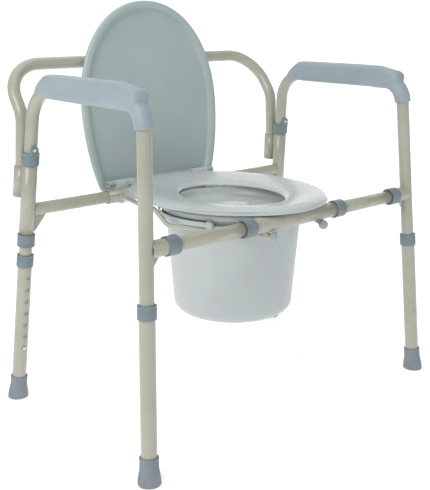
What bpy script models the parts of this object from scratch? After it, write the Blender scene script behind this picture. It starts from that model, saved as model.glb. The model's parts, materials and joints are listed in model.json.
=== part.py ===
"""Commode chair: a knock-down steel frame on adjustable legs that carries a seat, a lid and a pail.

Metres, +Z up. The floor is Z = 0, the chair faces -Y, and left and right are as seen by someone
who faces the chair, so left is -X.
"""
import math

import bmesh
import bpy
from mathutils import Matrix, Vector

# ---------------------------------------------------------------- driving sizes
SIDES = {"left": -1, "right": 1}
GAP = 0.0003                       # clearance between pieces that touch

# leg axes: half spans at the reference height, and how far they splay per metre of drop
MID_Y = -0.0276                    # middle between the front and the rear legs
REF_Z = 0.400
HALF_SPAN_X = 0.353
HALF_SPAN_Y = 0.1945
SPLAY_X = 0.0496
SPLAY_FRONT = 0.066
SPLAY_REAR = 0.097

# tubes
TUBE_R = 0.0127                    # bent side frame, back bar and crossbar end tubes
SLEEVE_R = 0.0150                  # sleeves, stubs and crossbar centre tubes
LEG_R = 0.0143                     # adjustable lower legs
BORE_R = 0.0134                    # bore of everything a 25.4 mm tube slides in
WALL = 0.0014
RAIL_R = 0.00475
ROUND = 12                         # sides of a round tube

# heights on the frame
ARM_Z = 0.642
ARM_BEND_FRONT = 0.044
ARM_BEND_REAR = 0.068
UPRIGHT_END_Z = 0.097
LEG_TOP_Z = 0.306
LEG_END_Z = 0.012
TIP_HEIGHT = 0.048
SLEEVE_Z = (0.334, 0.514)
SOCKET_Z = (0.427, 0.488)
FRONT_BAR_Z = 0.4015
REAR_BAR_Z = 0.402

# leg adjustment
HOLE_PITCH = 0.0254
HOLE_COUNT = 7
LEG_BUTTON_Z = 0.1134
BUTTON_R = 0.0040
HOLE_R = 0.0045
BUTTON_STAND = 0.0030              # how far a button stands proud
SLEEVE_BUTTON_Z = 0.5265

# crossbars, all as |x|
STUB_END_X = 0.294
CENTRE_END_X = 0.131
LOCK_TUBE_X = (0.085, 0.330)
REAR_CENTRE_END_X = 0.165
REAR_END_TUBE_INNER_X = 0.120
COLLAR_LENGTH = 0.025
COLLAR_LIP = 0.005
COLLAR_WALL = 0.0022

# back bar
BACK_OFFSET_Y = 0.0315             # behind the rear sleeve's axis
BACK_TURN_BACK = 0.008             # how much further back the bar is where it turns
BACK_TURN_Z = 0.588
BACK_TOP_Z = 0.682
BACK_LEAN = math.radians(36.0)
BACK_CORNER_R = 0.080
BACK_TURN_R = 0.060

# seat, hinge and lid; y is measured from MID_Y
HINGE_Y = 0.214
HINGE_Z = 0.424
PIN_R = 0.0030
KNUCKLE_R = 0.0070
SEAT_HALF_X = 0.183
SEAT_FRONT_Y = -0.222
SEAT_REAR_Y = 0.219
SEAT_BOTTOM_Z = 0.419
SEAT_CREST_Z = 0.432
SEAT_LIP_Z = 0.4168
HOLE_HALF_X = 0.096
HOLE_FRONT_Y = -0.140
HOLE_REAR_Y = 0.106
LID_LEAN = math.radians(6.0)
LID_PLANE_OFFSET = 0.016           # hinge axis to the lid's middle plane
LID_HALF_X = 0.186
LID_WIDEST = 0.163                 # along the lid, from the hinge
LID_LENGTH = 0.391
LID_TAIL = 0.018                   # runs on below the hinge
LID_HALF_T = 0.006
LID_PLATE = 0.0035

# pail
PAIL_Y = -0.023                    # from MID_Y
PAIL_BOTTOM_Z = 0.180
PAIL_RIM_Z = (0.398, 0.408)
PAIL_RIM_R = 0.149
PAIL_R_LOW = 0.1218                # at PAIL_Z_LOW
PAIL_R_HIGH = 0.1380               # at PAIL_Z_HIGH
PAIL_Z_LOW = 0.190
PAIL_Z_HIGH = 0.380
PAIL_WALL = 0.0022
HANDLE_R = (0.1520, 0.1545)
HANDLE_Z = (0.3860, 0.3955)
HANDLE_ANGLE = math.radians(210.0)  # direction of one pivot, seen from above
RAIL_Z = 0.380


# ---------------------------------------------------------------- scene and materials
def clear_scene():
    for obj in list(bpy.data.objects):
        bpy.data.objects.remove(obj, do_unlink=True)


def new_collection(name):
    collection = bpy.data.collections.new(name)
    bpy.context.scene.collection.children.link(collection)
    return collection


def material(name, colour, roughness, metallic=0.0):
    mat = bpy.data.materials.new(name)
    mat.use_nodes = True
    shader = mat.node_tree.nodes["Principled BSDF"]
    shader.inputs["Base Color"].default_value = (*colour, 1.0)
    shader.inputs["Roughness"].default_value = roughness
    shader.inputs["Metallic"].default_value = metallic
    return mat


clear_scene()
PARTS = new_collection("commode_chair")
CUTTERS = new_collection("cutters")
PAINT = material("cream_enamel", (0.60, 0.59, 0.53), 0.35)
BLUE_GREY = material("blue_grey_plastic", (0.25, 0.34, 0.38), 0.45)
LID_GREEN = material("lid_plastic", (0.22, 0.31, 0.30), 0.32)
SEAT_GREY = material("seat_plastic", (0.42, 0.46, 0.46), 0.35)
PAIL_WHITE = material("pail_plastic", (0.62, 0.66, 0.66), 0.40)
RUBBER = material("tip_rubber", (0.20, 0.22, 0.23), 0.80)
STEEL = material("bright_steel", (0.70, 0.69, 0.66), 0.25, 1.0)


# ---------------------------------------------------------------- building blocks
def add_object(name, data, mat, collection=None):
    obj = bpy.data.objects.new(name, data)
    (collection or PARTS).objects.link(obj)
    if mat is not None:
        data.materials.append(mat)
    return obj


def aim(obj, origin, direction, face=None):
    """Put an object at origin with its local Z along direction, and its local X near face."""
    z_axis = Vector(direction).normalized()
    hint = Vector(face) if face is not None else Vector((1.0, 0.0, 0.0))
    if abs(hint.normalized().dot(z_axis)) > 0.99:
        hint = Vector((0.0, 1.0, 0.0))
    y_axis = z_axis.cross(hint).normalized()
    x_axis = y_axis.cross(z_axis)
    matrix = Matrix((x_axis, y_axis, z_axis)).transposed().to_4x4()
    matrix.translation = Vector(origin)
    obj.matrix_world = matrix
    return obj


def turned(name, profile, mat, origin=(0, 0, 0), direction=(0, 0, 1), ring=False, steps=ROUND,
           collection=None, face=None):
    """A turned piece: (radius, height) points down the outer side; a ring's profile is closed."""
    mesh = bpy.data.meshes.new(name)
    count = len(profile)
    edges = [(i, i + 1) for i in range(count - 1)]
    if ring:
        edges.append((count - 1, 0))
    mesh.from_pydata([(radius, 0.0, height) for radius, height in profile], edges, [])
    obj = add_object(name, mesh, mat, collection)
    screw = obj.modifiers.new("Turn", "SCREW")
    screw.axis = "Z"
    screw.steps = steps
    screw.render_steps = steps
    screw.use_merge_vertices = True
    screw.merge_threshold = 0.00001
    screw.use_smooth_shade = True
    return aim(obj, origin, direction, face)


def evaluated_mesh(obj):
    depsgraph = bpy.context.evaluated_depsgraph_get()
    depsgraph.update()
    return bpy.data.meshes.new_from_object(obj.evaluated_get(depsgraph), depsgraph=depsgraph)


def apply_all(obj):
    """Turn a curve or a modified mesh into a plain, welded mesh object of the same name."""
    name = obj.name
    mesh = evaluated_mesh(obj)
    work = bmesh.new()
    work.from_mesh(mesh)
    bmesh.ops.remove_doubles(work, verts=work.verts, dist=0.00001)
    bmesh.ops.recalc_face_normals(work, faces=work.faces)
    work.to_mesh(mesh)
    work.free()
    matrix = obj.matrix_world.copy()
    collection = obj.users_collection[0]
    bpy.data.objects.remove(obj, do_unlink=True)
    result = bpy.data.objects.new(name, mesh)
    collection.objects.link(result)
    result.matrix_world = matrix
    return result


def as_cutter(obj):
    obj.hide_render = True
    obj.display_type = "WIRE"
    return obj


def combine(obj, others, operation):
    """Boolean each of the other objects into obj and bake the result; the others are used up."""
    bpy.context.view_layer.update()
    for other in others:
        step = obj.modifiers.new(operation.title(), "BOOLEAN")
        step.operation = operation
        step.solver = "EXACT"
        step.object = other
    result = apply_all(obj)
    for other in others:
        bpy.data.objects.remove(other, do_unlink=True)
    return result


def rod(name, start, end, radius, mat=None, steps=ROUND, collection=None, face=None):
    """A plain solid cylinder between two points."""
    start = Vector(start)
    run = Vector(end) - start
    profile = [(0.0, run.length), (radius, run.length), (radius, 0.0), (0.0, 0.0)]
    return turned(name, profile, mat, start, run, steps=steps, collection=collection, face=face)


def pipe(name, start, end, outer, inner, mat, steps=ROUND, face=None):
    """A hollow cylinder between two points."""
    start = Vector(start)
    run = Vector(end) - start
    profile = [(outer, run.length), (outer, 0.0), (inner, 0.0), (inner, run.length)]
    return turned(name, profile, mat, start, run, ring=True, steps=steps, face=face)


def cutter_rod(start, end, radius, steps=12):
    return as_cutter(rod("cut", start, end, radius, steps=steps, collection=CUTTERS))


def fillet(corners, radii, per_turn=4):
    """Points of a route through the corners, with each inner corner rounded by an arc."""
    points = [Vector(corners[0])]
    for before, corner, after, radius in zip(corners, corners[1:], corners[2:], radii):
        corner = Vector(corner)
        into = (corner - Vector(before)).normalized()
        out = (Vector(after) - corner).normalized()
        turn = into.angle(out)
        if radius <= 0.0 or turn < 0.001:
            points.append(corner)
            continue
        reach = radius * math.tan(turn / 2.0)
        start = corner - into * reach
        side = (out - into * out.dot(into)).normalized()
        for step in range(per_turn + 1):
            angle = turn * step / per_turn
            points.append(start + into * radius * math.sin(angle)
                          + side * radius * (1.0 - math.cos(angle)))
    points.append(Vector(corners[-1]))
    return points


def route_curve(name, points, radius, mat, resolution=4, collection=None, capped=True):
    """A round bar along a route; resolution 4 gives it the 12 sides of a frame tube."""
    curve = bpy.data.curves.new(name, "CURVE")
    curve.dimensions = "3D"
    curve.bevel_depth = radius
    curve.bevel_resolution = resolution
    curve.use_fill_caps = capped
    spline = curve.splines.new("POLY")
    spline.points.add(len(points) - 1)
    for point, place in zip(spline.points, points):
        point.co = (*place, 1.0)
    return add_object(name, curve, mat, collection)


def bent_tube(name, points, radius, mat):
    """A hollow bent tube, open at both ends."""
    tube = apply_all(route_curve(name, points, radius, mat, capped=False))
    shell = tube.modifiers.new("Wall", "SOLIDIFY")
    shell.thickness = WALL
    shell.offset = -1.0
    shell.use_even_offset = True
    return tube


def plate(name, loops, thickness, mat, matrix, bevel=0.0, collection=None):
    """A flat plate from closed outlines (holes are further loops) in a plane given by matrix."""
    curve = bpy.data.curves.new(name, "CURVE")
    curve.dimensions = "2D"
    curve.fill_mode = "BOTH"
    curve.extrude = thickness / 2.0 - bevel
    curve.bevel_depth = bevel
    curve.bevel_resolution = 1
    for loop in loops:
        spline = curve.splines.new("POLY")
        spline.points.add(len(loop) - 1)
        spline.use_cyclic_u = True
        for point, (across, up) in zip(spline.points, loop):
            point.co = (across, up, 0.0, 1.0)
    obj = add_object(name, curve, mat, collection)
    obj.matrix_world = matrix
    return apply_all(obj)


def side_plane(x):
    """Local X runs to world Y and local Y to world Z, at the given x."""
    return Matrix(((0, 0, 1, x), (1, 0, 0, 0), (0, 1, 0, 0), (0, 0, 0, 1)))


def front_plane(y):
    """Local X runs to world X and local Y to world Z, at the given y."""
    return Matrix(((1, 0, 0, 0), (0, 0, -1, y), (0, 1, 0, 0), (0, 0, 0, 1)))


def arc(centre, radius, start_deg, end_deg, steps):
    """Points on an arc in a plane, from one angle to another, both included."""
    return [(centre[0] + radius * math.cos(math.radians(angle)),
             centre[1] + radius * math.sin(math.radians(angle)))
            for angle in (start_deg + (end_deg - start_deg) * i / steps for i in range(steps + 1))]


def loft(name, loops, mat, closed_section):
    """A solid through rings of points; a closed section makes a ring, an open one gets end caps."""
    work = bmesh.new()
    rings = [[work.verts.new(point) for point in loop] for loop in loops]
    pairs = list(zip(rings, rings[1:]))
    if closed_section:
        pairs.append((rings[-1], rings[0]))
    for ring_a, ring_b in pairs:
        for i in range(len(ring_a)):
            j = (i + 1) % len(ring_a)
            work.faces.new((ring_a[i], ring_a[j], ring_b[j], ring_b[i]))
    if not closed_section:
        work.faces.new(list(reversed(rings[0])))
        work.faces.new(rings[-1])
    bmesh.ops.recalc_face_normals(work, faces=work.faces)
    mesh = bpy.data.meshes.new(name)
    work.to_mesh(mesh)
    work.free()
    return add_object(name, mesh, mat)


def smooth(obj, angle=40.0):
    obj.data.shade_smooth()
    obj.data.set_sharp_from_angle(angle=math.radians(angle))
    return obj


# ---------------------------------------------------------------- leg axes
def leg_axis(side, end, z):
    """The point of a leg's axis at a height; side is -1 or 1, end is front or rear."""
    drop = REF_Z - z
    x = side * (HALF_SPAN_X + SPLAY_X * drop)
    if end == "front":
        return Vector((x, MID_Y - HALF_SPAN_Y - SPLAY_FRONT * drop, z))
    return Vector((x, MID_Y + HALF_SPAN_Y + SPLAY_REAR * drop, z))


def leg_up(side, end):
    lean = SPLAY_FRONT if end == "front" else -SPLAY_REAR
    return Vector((-side * SPLAY_X, lean, 1.0)).normalized()


def hole_direction(side, end):
    """The way a leg's holes face: square to the leg, front legs to the rear, rear legs forward."""
    up = leg_up(side, end)
    facing = Vector((0.0, 1.0 if end == "front" else -1.0, 0.0))
    return (facing - up * facing.dot(up)).normalized()


# ---------------------------------------------------------------- collars, tips and buttons
def collar(name, end_point, outward, tube_r, mat=BLUE_GREY):
    """A plastic collar over a tube's end, with a lip that closes on the thinner tube inside."""
    outer = tube_r + GAP + COLLAR_WALL
    body = COLLAR_LENGTH - COLLAR_LIP
    edge = 0.0008
    grip = (tube_r + GAP) / math.cos(math.pi / ROUND)
    profile = [(outer - edge, COLLAR_LIP), (outer, COLLAR_LIP - edge), (outer, -body),
               (grip, -body), (grip, GAP), (BORE_R, GAP), (BORE_R, COLLAR_LIP)]
    return turned(name, profile, mat, end_point, outward, ring=True)


def leg_tip(name, side, end):
    """A flared rubber tip on a leg, with its foot cut level with the floor."""
    base = leg_axis(side, end, 0.0)
    up = leg_up(side, end)
    socket = LEG_R / math.cos(math.pi / ROUND) + GAP
    profile = [(0.0165, TIP_HEIGHT), (0.0172, TIP_HEIGHT - 0.002), (0.0174, 0.026),
               (0.0190, 0.018), (0.0205, 0.008), (0.0205, -0.004), (0.0, -0.004),
               (0.0, LEG_END_Z - GAP), (socket, LEG_END_Z - GAP), (socket, TIP_HEIGHT)]
    tip = turned(name, profile, RUBBER, base, up, ring=True)
    tip = apply_all(tip)
    work = bmesh.new()
    work.from_mesh(tip.data)
    work.transform(tip.matrix_world)
    cut = bmesh.ops.bisect_plane(work, geom=work.verts[:] + work.edges[:] + work.faces[:],
                                 plane_co=(0, 0, 0), plane_no=(0, 0, 1), clear_inner=True)
    rim = [item for item in cut["geom_cut"] if isinstance(item, bmesh.types.BMEdge)]
    bmesh.ops.holes_fill(work, edges=rim, sides=0)
    work.transform(tip.matrix_world.inverted())
    bmesh.ops.recalc_face_normals(work, faces=work.faces)
    work.to_mesh(tip.data)
    work.free()
    return smooth(tip)


def snap_button(name, centre, up, outward, tip_reach):
    """A domed steel pin, its flange inside the tube and the spring leaf that carries it."""
    flange_face = TUBE_R - WALL - 0.0022
    profile = [(0.0, tip_reach), (BUTTON_R * 0.6, tip_reach - 0.0005),
               (BUTTON_R, tip_reach - 0.0020), (BUTTON_R, flange_face),
               (0.0055, flange_face), (0.0055, flange_face - 0.0015),
               (0.0, flange_face - 0.0015)]
    pin = apply_all(turned(name, profile, STEEL, centre, outward, steps=8))
    plane = Matrix((up, outward, up.cross(outward))).transposed().to_4x4()
    plane.translation = centre
    top = flange_face - 0.0008
    outline = [(0.003, top), (0.003, top - 0.0012), (-0.006, top - 0.0012), (-0.026, -0.0022),
               (-0.026, -0.0010), (-0.006, top)]
    leaf = plate("leaf", [outline], 0.0044, STEEL, plane)
    return smooth(combine(pin, [leaf], "UNION"))


# ---------------------------------------------------------------- side frames and legs
def side_frame(label, side):
    """One bent tube, holed for its three snap buttons; returns the route of its axis."""
    corners = [leg_axis(side, "front", UPRIGHT_END_Z), leg_axis(side, "front", ARM_Z),
               leg_axis(side, "rear", ARM_Z), leg_axis(side, "rear", UPRIGHT_END_Z)]
    route = fillet(corners, (ARM_BEND_FRONT, ARM_BEND_REAR))
    tube = bent_tube(f"side_frame_{label}", route, TUBE_R, PAINT)
    holes = []
    for end, z in (("front", LEG_BUTTON_Z), ("rear", LEG_BUTTON_Z), ("rear", SLEEVE_BUTTON_Z)):
        centre = leg_axis(side, end, z)
        out = hole_direction(side, end)
        holes.append(cutter_rod(centre + out * 0.006, centre + out * 0.020, HOLE_R, steps=8))
    smooth(combine(tube, holes, "DIFFERENCE"))
    return route


def lower_leg(label, side, end):
    """A height leg: a tube with a row of holes, its collar, its tip and the button in a hole."""
    up = leg_up(side, end)
    out = hole_direction(side, end)
    name = f"{end}_{label}"
    leg = pipe(f"lower_leg_{name}", leg_axis(side, end, LEG_END_Z), leg_axis(side, end, LEG_TOP_Z),
               LEG_R, BORE_R, PAINT, face=out)
    lowest = leg_axis(side, end, LEG_BUTTON_Z)
    holes = []
    for index in range(HOLE_COUNT):
        centre = lowest + up * HOLE_PITCH * index
        holes.append(cutter_rod(centre + out * 0.008, centre + out * 0.020, HOLE_R, steps=8))
    smooth(combine(leg, holes, "DIFFERENCE"))
    collar(f"leg_collar_{name}", leg_axis(side, end, LEG_TOP_Z), up, LEG_R)
    leg_tip(f"leg_tip_{name}", side, end)
    snap_button(f"leg_button_{name}", lowest, up, out, LEG_R + BUTTON_STAND)


# ---------------------------------------------------------------- rear frame
def rear_sleeve(label, side):
    """The tube that holds the rear upright, with its two collars and the back bar's socket."""
    bottom = leg_axis(side, "rear", SLEEVE_Z[0])
    top = leg_axis(side, "rear", SLEEVE_Z[1])
    up = leg_up(side, "rear")
    pipe(f"rear_sleeve_{label}", bottom, top, SLEEVE_R, BORE_R, PAINT)
    collar(f"sleeve_collar_bottom_{label}", bottom, -up, SLEEVE_R)
    tabbed_collar(label, side, top, up)
    shift = Vector((0.0, BACK_OFFSET_Y, 0.0))
    pipe(f"back_bar_socket_{label}", leg_axis(side, "rear", SOCKET_Z[0]) + shift,
         leg_axis(side, "rear", SOCKET_Z[1]) + shift, SLEEVE_R, BORE_R, PAINT)
    out = hole_direction(side, "rear")
    centre = leg_axis(side, "rear", SLEEVE_BUTTON_Z)
    snap_button(f"sleeve_button_{label}", centre, up, out, TUBE_R + BUTTON_STAND + 0.0034)


def tabbed_collar(label, side, top, up):
    """The upper collar, which reaches up in a tab that the sleeve's snap button comes through."""
    out = hole_direction(side, "rear")
    ring = apply_all(collar(f"sleeve_collar_top_{label}", top, up, SLEEVE_R))
    centre = leg_axis(side, "rear", SLEEVE_BUTTON_Z)
    across = up.cross(out)
    frame = Matrix((across, up, out)).transposed().to_4x4()
    frame.translation = centre + out * 0.0146
    half = 0.0075
    foot = -(centre - top).length + 0.001
    outline = [(-half, foot), (half, foot)] + arc((0.0, 0.0), half, 0.0, 180.0, 8)
    tab = plate("tab", [outline], 0.0052, BLUE_GREY, frame)
    ring = combine(ring, [tab], "UNION")
    clear = cutter_rod(top - up * 0.030, centre + up * 0.030, BORE_R, steps=ROUND)
    sleeve_room = cutter_rod(top - up * 0.030, top + up * GAP, SLEEVE_R + 0.0006, steps=ROUND)
    hole = cutter_rod(centre, centre + out * 0.030, HOLE_R)
    smooth(combine(ring, [clear, sleeve_room, hole], "DIFFERENCE"))


def bar_point(x, z, end):
    """A point on a crossbar, which runs straight from leg axis to leg axis at its height."""
    return Vector((x, leg_axis(1, end, z).y, z))


def coped(piece, side, end, radius):
    """Cut the end of a crossbar piece to the round of the upright it is welded to."""
    low = leg_axis(side, end, FRONT_BAR_Z - 0.060)
    high = leg_axis(side, end, FRONT_BAR_Z + 0.060)
    return smooth(combine(piece, [cutter_rod(low, high, radius + 0.0006, steps=24)], "DIFFERENCE"))


def gusset(side, end, bar_z, bar_r, upright_r, reach, drop):
    """A small triangular plate in the corner below a crossbar, welded up into its tube's wall."""
    y = leg_axis(side, end, bar_z).y
    top = bar_z - bar_r
    start = HALF_SPAN_X - upright_r
    corners = [(side * (start + 0.004), top + WALL * 0.5), (side * (start - reach), top + WALL * 0.5),
               (side * (start - reach), top - 0.001),
               (side * (start + SPLAY_X * drop + 0.004), top - drop)]
    return plate("web", [corners], 0.004, PAINT, front_plane(y))


def rear_crossbar():
    """The rear crossbar: a centre tube with an end tube welded to each sleeve."""
    pipe("rear_centre_tube", bar_point(-REAR_CENTRE_END_X, REAR_BAR_Z, "rear"),
         bar_point(REAR_CENTRE_END_X, REAR_BAR_Z, "rear"), SLEEVE_R, BORE_R, PAINT)
    for label, side in SIDES.items():
        tube = pipe(f"rear_end_tube_{label}",
                    bar_point(side * REAR_END_TUBE_INNER_X, REAR_BAR_Z, "rear"),
                    bar_point(side * (HALF_SPAN_X - 0.006), REAR_BAR_Z, "rear"),
                    TUBE_R, TUBE_R - WALL, PAINT)
        web = gusset(side, "rear", REAR_BAR_Z, TUBE_R, SLEEVE_R, 0.024, 0.036)
        coped(combine(apply_all(tube), [web], "UNION"), side, "rear", SLEEVE_R)


def front_crossbar():
    """The front crossbar: welded stubs, two lock tubes and a centre tube, with four collars."""
    centre_end = {side: bar_point(side * CENTRE_END_X, FRONT_BAR_Z, "front") for side in (-1, 1)}
    pipe("front_centre_tube", centre_end[-1], centre_end[1], SLEEVE_R, BORE_R, PAINT)
    for label, side in SIDES.items():
        outward = Vector((side, 0.0, 0.0))
        stub_end = bar_point(side * STUB_END_X, FRONT_BAR_Z, "front")
        stub = pipe(f"front_stub_{label}", stub_end,
                    bar_point(side * (HALF_SPAN_X - 0.006), FRONT_BAR_Z, "front"),
                    SLEEVE_R, BORE_R, PAINT)
        web = gusset(side, "front", FRONT_BAR_Z, SLEEVE_R, TUBE_R, 0.012, 0.024)
        coped(combine(apply_all(stub), [web], "UNION"), side, "front", TUBE_R)
        pipe(f"front_lock_tube_{label}", bar_point(side * LOCK_TUBE_X[0], FRONT_BAR_Z, "front"),
             bar_point(side * LOCK_TUBE_X[1], FRONT_BAR_Z, "front"), TUBE_R, TUBE_R - WALL, PAINT)
        collar(f"stub_collar_{label}", stub_end, -outward, SLEEVE_R)
        collar(f"centre_collar_{label}", centre_end[side], outward, SLEEVE_R)


def back_bar():
    """One bar: up out of each socket, back over the lean, and across behind the lid."""
    corners = []
    for side in (-1, 1):
        shift = Vector((0.0, BACK_OFFSET_Y, 0.0))
        foot = leg_axis(side, "rear", SOCKET_Z[0] + 0.002) + shift
        turn = leg_axis(side, "rear", BACK_TURN_Z) + shift + Vector((0.0, BACK_TURN_BACK, 0.0))
        rise = BACK_TOP_Z - BACK_TURN_Z
        top = turn + Vector((0.0, rise * math.tan(BACK_LEAN), rise))
        mouth = leg_axis(side, "rear", SOCKET_Z[1] + 0.006) + shift
        corners.append([foot, mouth, turn, top])
    route = fillet(corners[0] + corners[1][::-1],
                   (0.0, BACK_TURN_R, BACK_CORNER_R, BACK_CORNER_R, BACK_TURN_R, 0.0))
    smooth(apply_all(route_curve("back_bar", route, TUBE_R, PAINT)))


# ---------------------------------------------------------------- armrests
ARM_PAD_TOP = 0.0225               # above the arm tube's axis
ARM_PAD_LOW = -0.0055
ARM_PAD_WIDTH = 0.036
ARM_SLEEVE_R = 0.0168
ARM_NOSE_END_Z = 0.599
ARM_PAD_REAR = 0.134               # from MID_Y, on the rear bend
ARM_SCREW_Y = {"rear": 0.102, "front": -0.076}


def armrest(label, side, frame_route):
    """A moulded pad on the arm tube that turns into a sleeve over the front bend."""
    front_y = leg_axis(side, "front", ARM_Z).y
    rear_y = MID_Y + ARM_PAD_REAR
    top = ARM_Z + ARM_PAD_TOP
    low = ARM_Z + ARM_PAD_LOW
    outline = [(rear_y + 0.004, low), (rear_y + 0.001, low + 0.009), (rear_y - 0.024, top - 0.0015),
               (rear_y - 0.030, top), (front_y + 0.066, top), (front_y + 0.054, top - 0.0020),
               (front_y + 0.026, ARM_Z + 0.0145), (front_y + 0.012, ARM_Z + 0.0130),
               (front_y + 0.010, ARM_Z + 0.0040),
               (front_y + 0.024, ARM_Z - 0.0070), (front_y + 0.040, low - 0.001),
               (front_y + 0.066, low)]
    x = leg_axis(side, "front", ARM_Z).x
    pad = plate(f"armrest_{label}", [outline], ARM_PAD_WIDTH, BLUE_GREY, side_plane(x), bevel=0.005)
    start = Vector((x, front_y + 0.075, ARM_Z))
    stop = leg_axis(side, "front", ARM_NOSE_END_Z)
    bend = [point for point in frame_route
            if point.y < start.y - 0.002 and point.z > stop.z + 0.002]
    nose = apply_all(route_curve("nose", [stop] + bend + [start], ARM_SLEEVE_R, BLUE_GREY))
    pad = combine(pad, [nose], "UNION")
    channel = apply_all(route_curve("channel", frame_route, TUBE_R + 0.0005, None,
                                    collection=CUTTERS))
    return smooth(combine(pad, [as_cutter(channel)], "DIFFERENCE"), 30.0)


def armrest_screws(label, side):
    """Pan-head screws up through the arm tube into the pad."""
    for place, y in ARM_SCREW_Y.items():
        seat = Vector((leg_axis(side, "front", ARM_Z).x, MID_Y + y, ARM_Z - TUBE_R - GAP))
        profile = [(0.0, 0.0), (0.0042, 0.0), (0.0038, -0.0016), (0.0020, -0.0024),
                   (0.0, -0.0024)]
        turned(f"armrest_screw_{place}_{label}", profile, STEEL, seat, (0, 0, 1), steps=12)


# ---------------------------------------------------------------- hinge, seat and lid
BRACKET_X = (0.1000, 0.1300)
SEAT_KNUCKLE_X = (0.0840, 0.0995)
LID_KNUCKLE_X = (0.1305, 0.1480)
HINGE = Vector((0.0, MID_Y + HINGE_Y, HINGE_Z))


def hinge_bracket(label, side):
    """A plastic clip round the rear centre tube, with a post that holds the hinge pin."""
    bar = (bar_point(0.0, REAR_BAR_Z, "rear").y, REAR_BAR_Z)
    pin = (HINGE.y, HINGE.z)
    inner = arc(bar, SLEEVE_R + 2.0 * GAP, 130.0, 410.0, 18)
    knuckle = arc(pin, KNUCKLE_R, 165.0, -60.0, 8)
    outer = arc(bar, SLEEVE_R + 0.0035, 350.0, 130.0, 12)
    hole = arc(pin, PIN_R + GAP, 0.0, 330.0, 11)
    width = BRACKET_X[1] - BRACKET_X[0]
    middle = side * (BRACKET_X[0] + BRACKET_X[1]) / 2.0
    plate(f"hinge_bracket_{label}", [inner + knuckle + outer, hole], width, SEAT_GREY,
          side_plane(middle))


def hinge_pin(label, side):
    """A pin through the seat's knuckle, the bracket and the lid's knuckle."""
    ends = [Vector((side * x, HINGE.y, HINGE.z))
            for x in (SEAT_KNUCKLE_X[0] + 0.003, LID_KNUCKLE_X[1] - 0.003)]
    rod(f"hinge_pin_{label}", ends[0], ends[1], PIN_R, STEEL, steps=12)


def knuckle_pair(span, arm_start, arm_end, arm_half):
    """Two knuckles on the hinge axis, each with the arm that joins it to the seat or the lid."""
    pieces = []
    for side in SIDES.values():
        low, high = (side * span[0], side * span[1])
        barrel = rod("knuckle", (low, HINGE.y, HINGE.z), (high, HINGE.y, HINGE.z), KNUCKLE_R)
        barrel = apply_all(barrel)
        run = Vector(arm_end) - Vector(arm_start)
        across = Vector((-run.y, run.x)).normalized() * arm_half
        outline = [Vector(arm_start) + across, Vector(arm_start) - across,
                   Vector(arm_end) - across, Vector(arm_end) + across]
        arm = plate("arm", [[tuple(p) for p in outline]], abs(high - low) - 0.001, None,
                    side_plane((low + high) / 2.0))
        pieces.append(combine(barrel, [arm], "UNION"))
    return pieces


def pin_cutters(span):
    cutters = []
    for side in SIDES.values():
        ends = [Vector((side * x, HINGE.y, HINGE.z)) for x in (span[0] - 0.002, span[1] + 0.002)]
        cutters.append(cutter_rod(ends[0], ends[1], PIN_R + 0.0004, steps=10))
    return cutters


def oval(angle, half_x, front_y, rear_y, middle_y, rear_power):
    """A point on the seat's kind of oval: an ellipse in front, squarer behind."""
    x, y = math.cos(angle), math.sin(angle)
    if y < 0.0:
        return half_x * x, middle_y + (middle_y - front_y) * y
    power = 2.0 / rear_power
    x = math.copysign(abs(x) ** power, x)
    y = abs(y) ** power
    return half_x * x, middle_y + (rear_y - middle_y) * y


def seat_outline(angle):
    """The seat's outer edge; its rear narrows to pass between the hinge brackets."""
    x, y = oval(angle, SEAT_HALF_X, SEAT_FRONT_Y, SEAT_REAR_Y, 0.0, 2.0)
    return x, y


# fractions from the hole's edge (0) to the outer edge (1), and how high the skin is there
SEAT_SECTION = [(0.00, SEAT_LIP_Z), (0.02, 0.4195), (0.10, 0.4235), (0.30, 0.4275),
                (0.60, 0.4314), (0.80, SEAT_CREST_Z), (0.97, 0.4285), (1.00, 0.4235),
                (0.97, SEAT_BOTTOM_Z), (0.10, SEAT_BOTTOM_Z), (0.06, SEAT_LIP_Z)]


def seat_ring():
    """The seat: a ring between two ovals, its top sloping in to a lip inside the pail."""
    around = 40
    angles = [2.0 * math.pi * i / around for i in range(around)]
    loops = []
    for share, z in SEAT_SECTION:
        loop = []
        for angle in angles:
            outer = seat_outline(angle)
            inner = oval(angle, HOLE_HALF_X, HOLE_FRONT_Y, HOLE_REAR_Y, -0.015, 2.0)
            loop.append((inner[0] + (outer[0] - inner[0]) * share,
                         MID_Y + inner[1] + (outer[1] - inner[1]) * share, z))
        loops.append(loop)
    seat = loft("seat_ring", loops, SEAT_GREY, closed_section=True)
    arms = knuckle_pair(SEAT_KNUCKLE_X, (HINGE.y, HINGE.z), (HINGE.y - 0.030, HINGE.z + 0.0005),
                        0.0040)
    seat = combine(seat, arms + seat_feet(), "UNION")
    smooth(combine(seat, pin_cutters(SEAT_KNUCKLE_X), "DIFFERENCE"))


def seat_feet():
    """The feet under the seat that come down on the two crossbars."""
    feet = []
    for end, bar_z, spread in (("front", FRONT_BAR_Z, 0.060), ("rear", REAR_BAR_Z, 0.070)):
        for side in SIDES.values():
            base = bar_point(side * spread, bar_z + SLEEVE_R + GAP, end)
            top = SEAT_BOTTOM_Z + 0.001 - base.z
            profile = [(0.0, top), (0.007, top), (0.006, 0.0), (0.0, 0.0)]
            feet.append(apply_all(turned("foot", profile, RUBBER, base, steps=12)))
    return feet


def lid_frame():
    """Local X across, local Y up the lid from the hinge, local Z out of its underside (forward)."""
    up = Vector((0.0, math.sin(LID_LEAN), math.cos(LID_LEAN)))
    out = Vector((0.0, -math.cos(LID_LEAN), math.sin(LID_LEAN)))
    frame = Matrix((Vector((1.0, 0.0, 0.0)), up, out)).transposed().to_4x4()
    frame.translation = HINGE - out * LID_PLANE_OFFSET
    return frame


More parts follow.
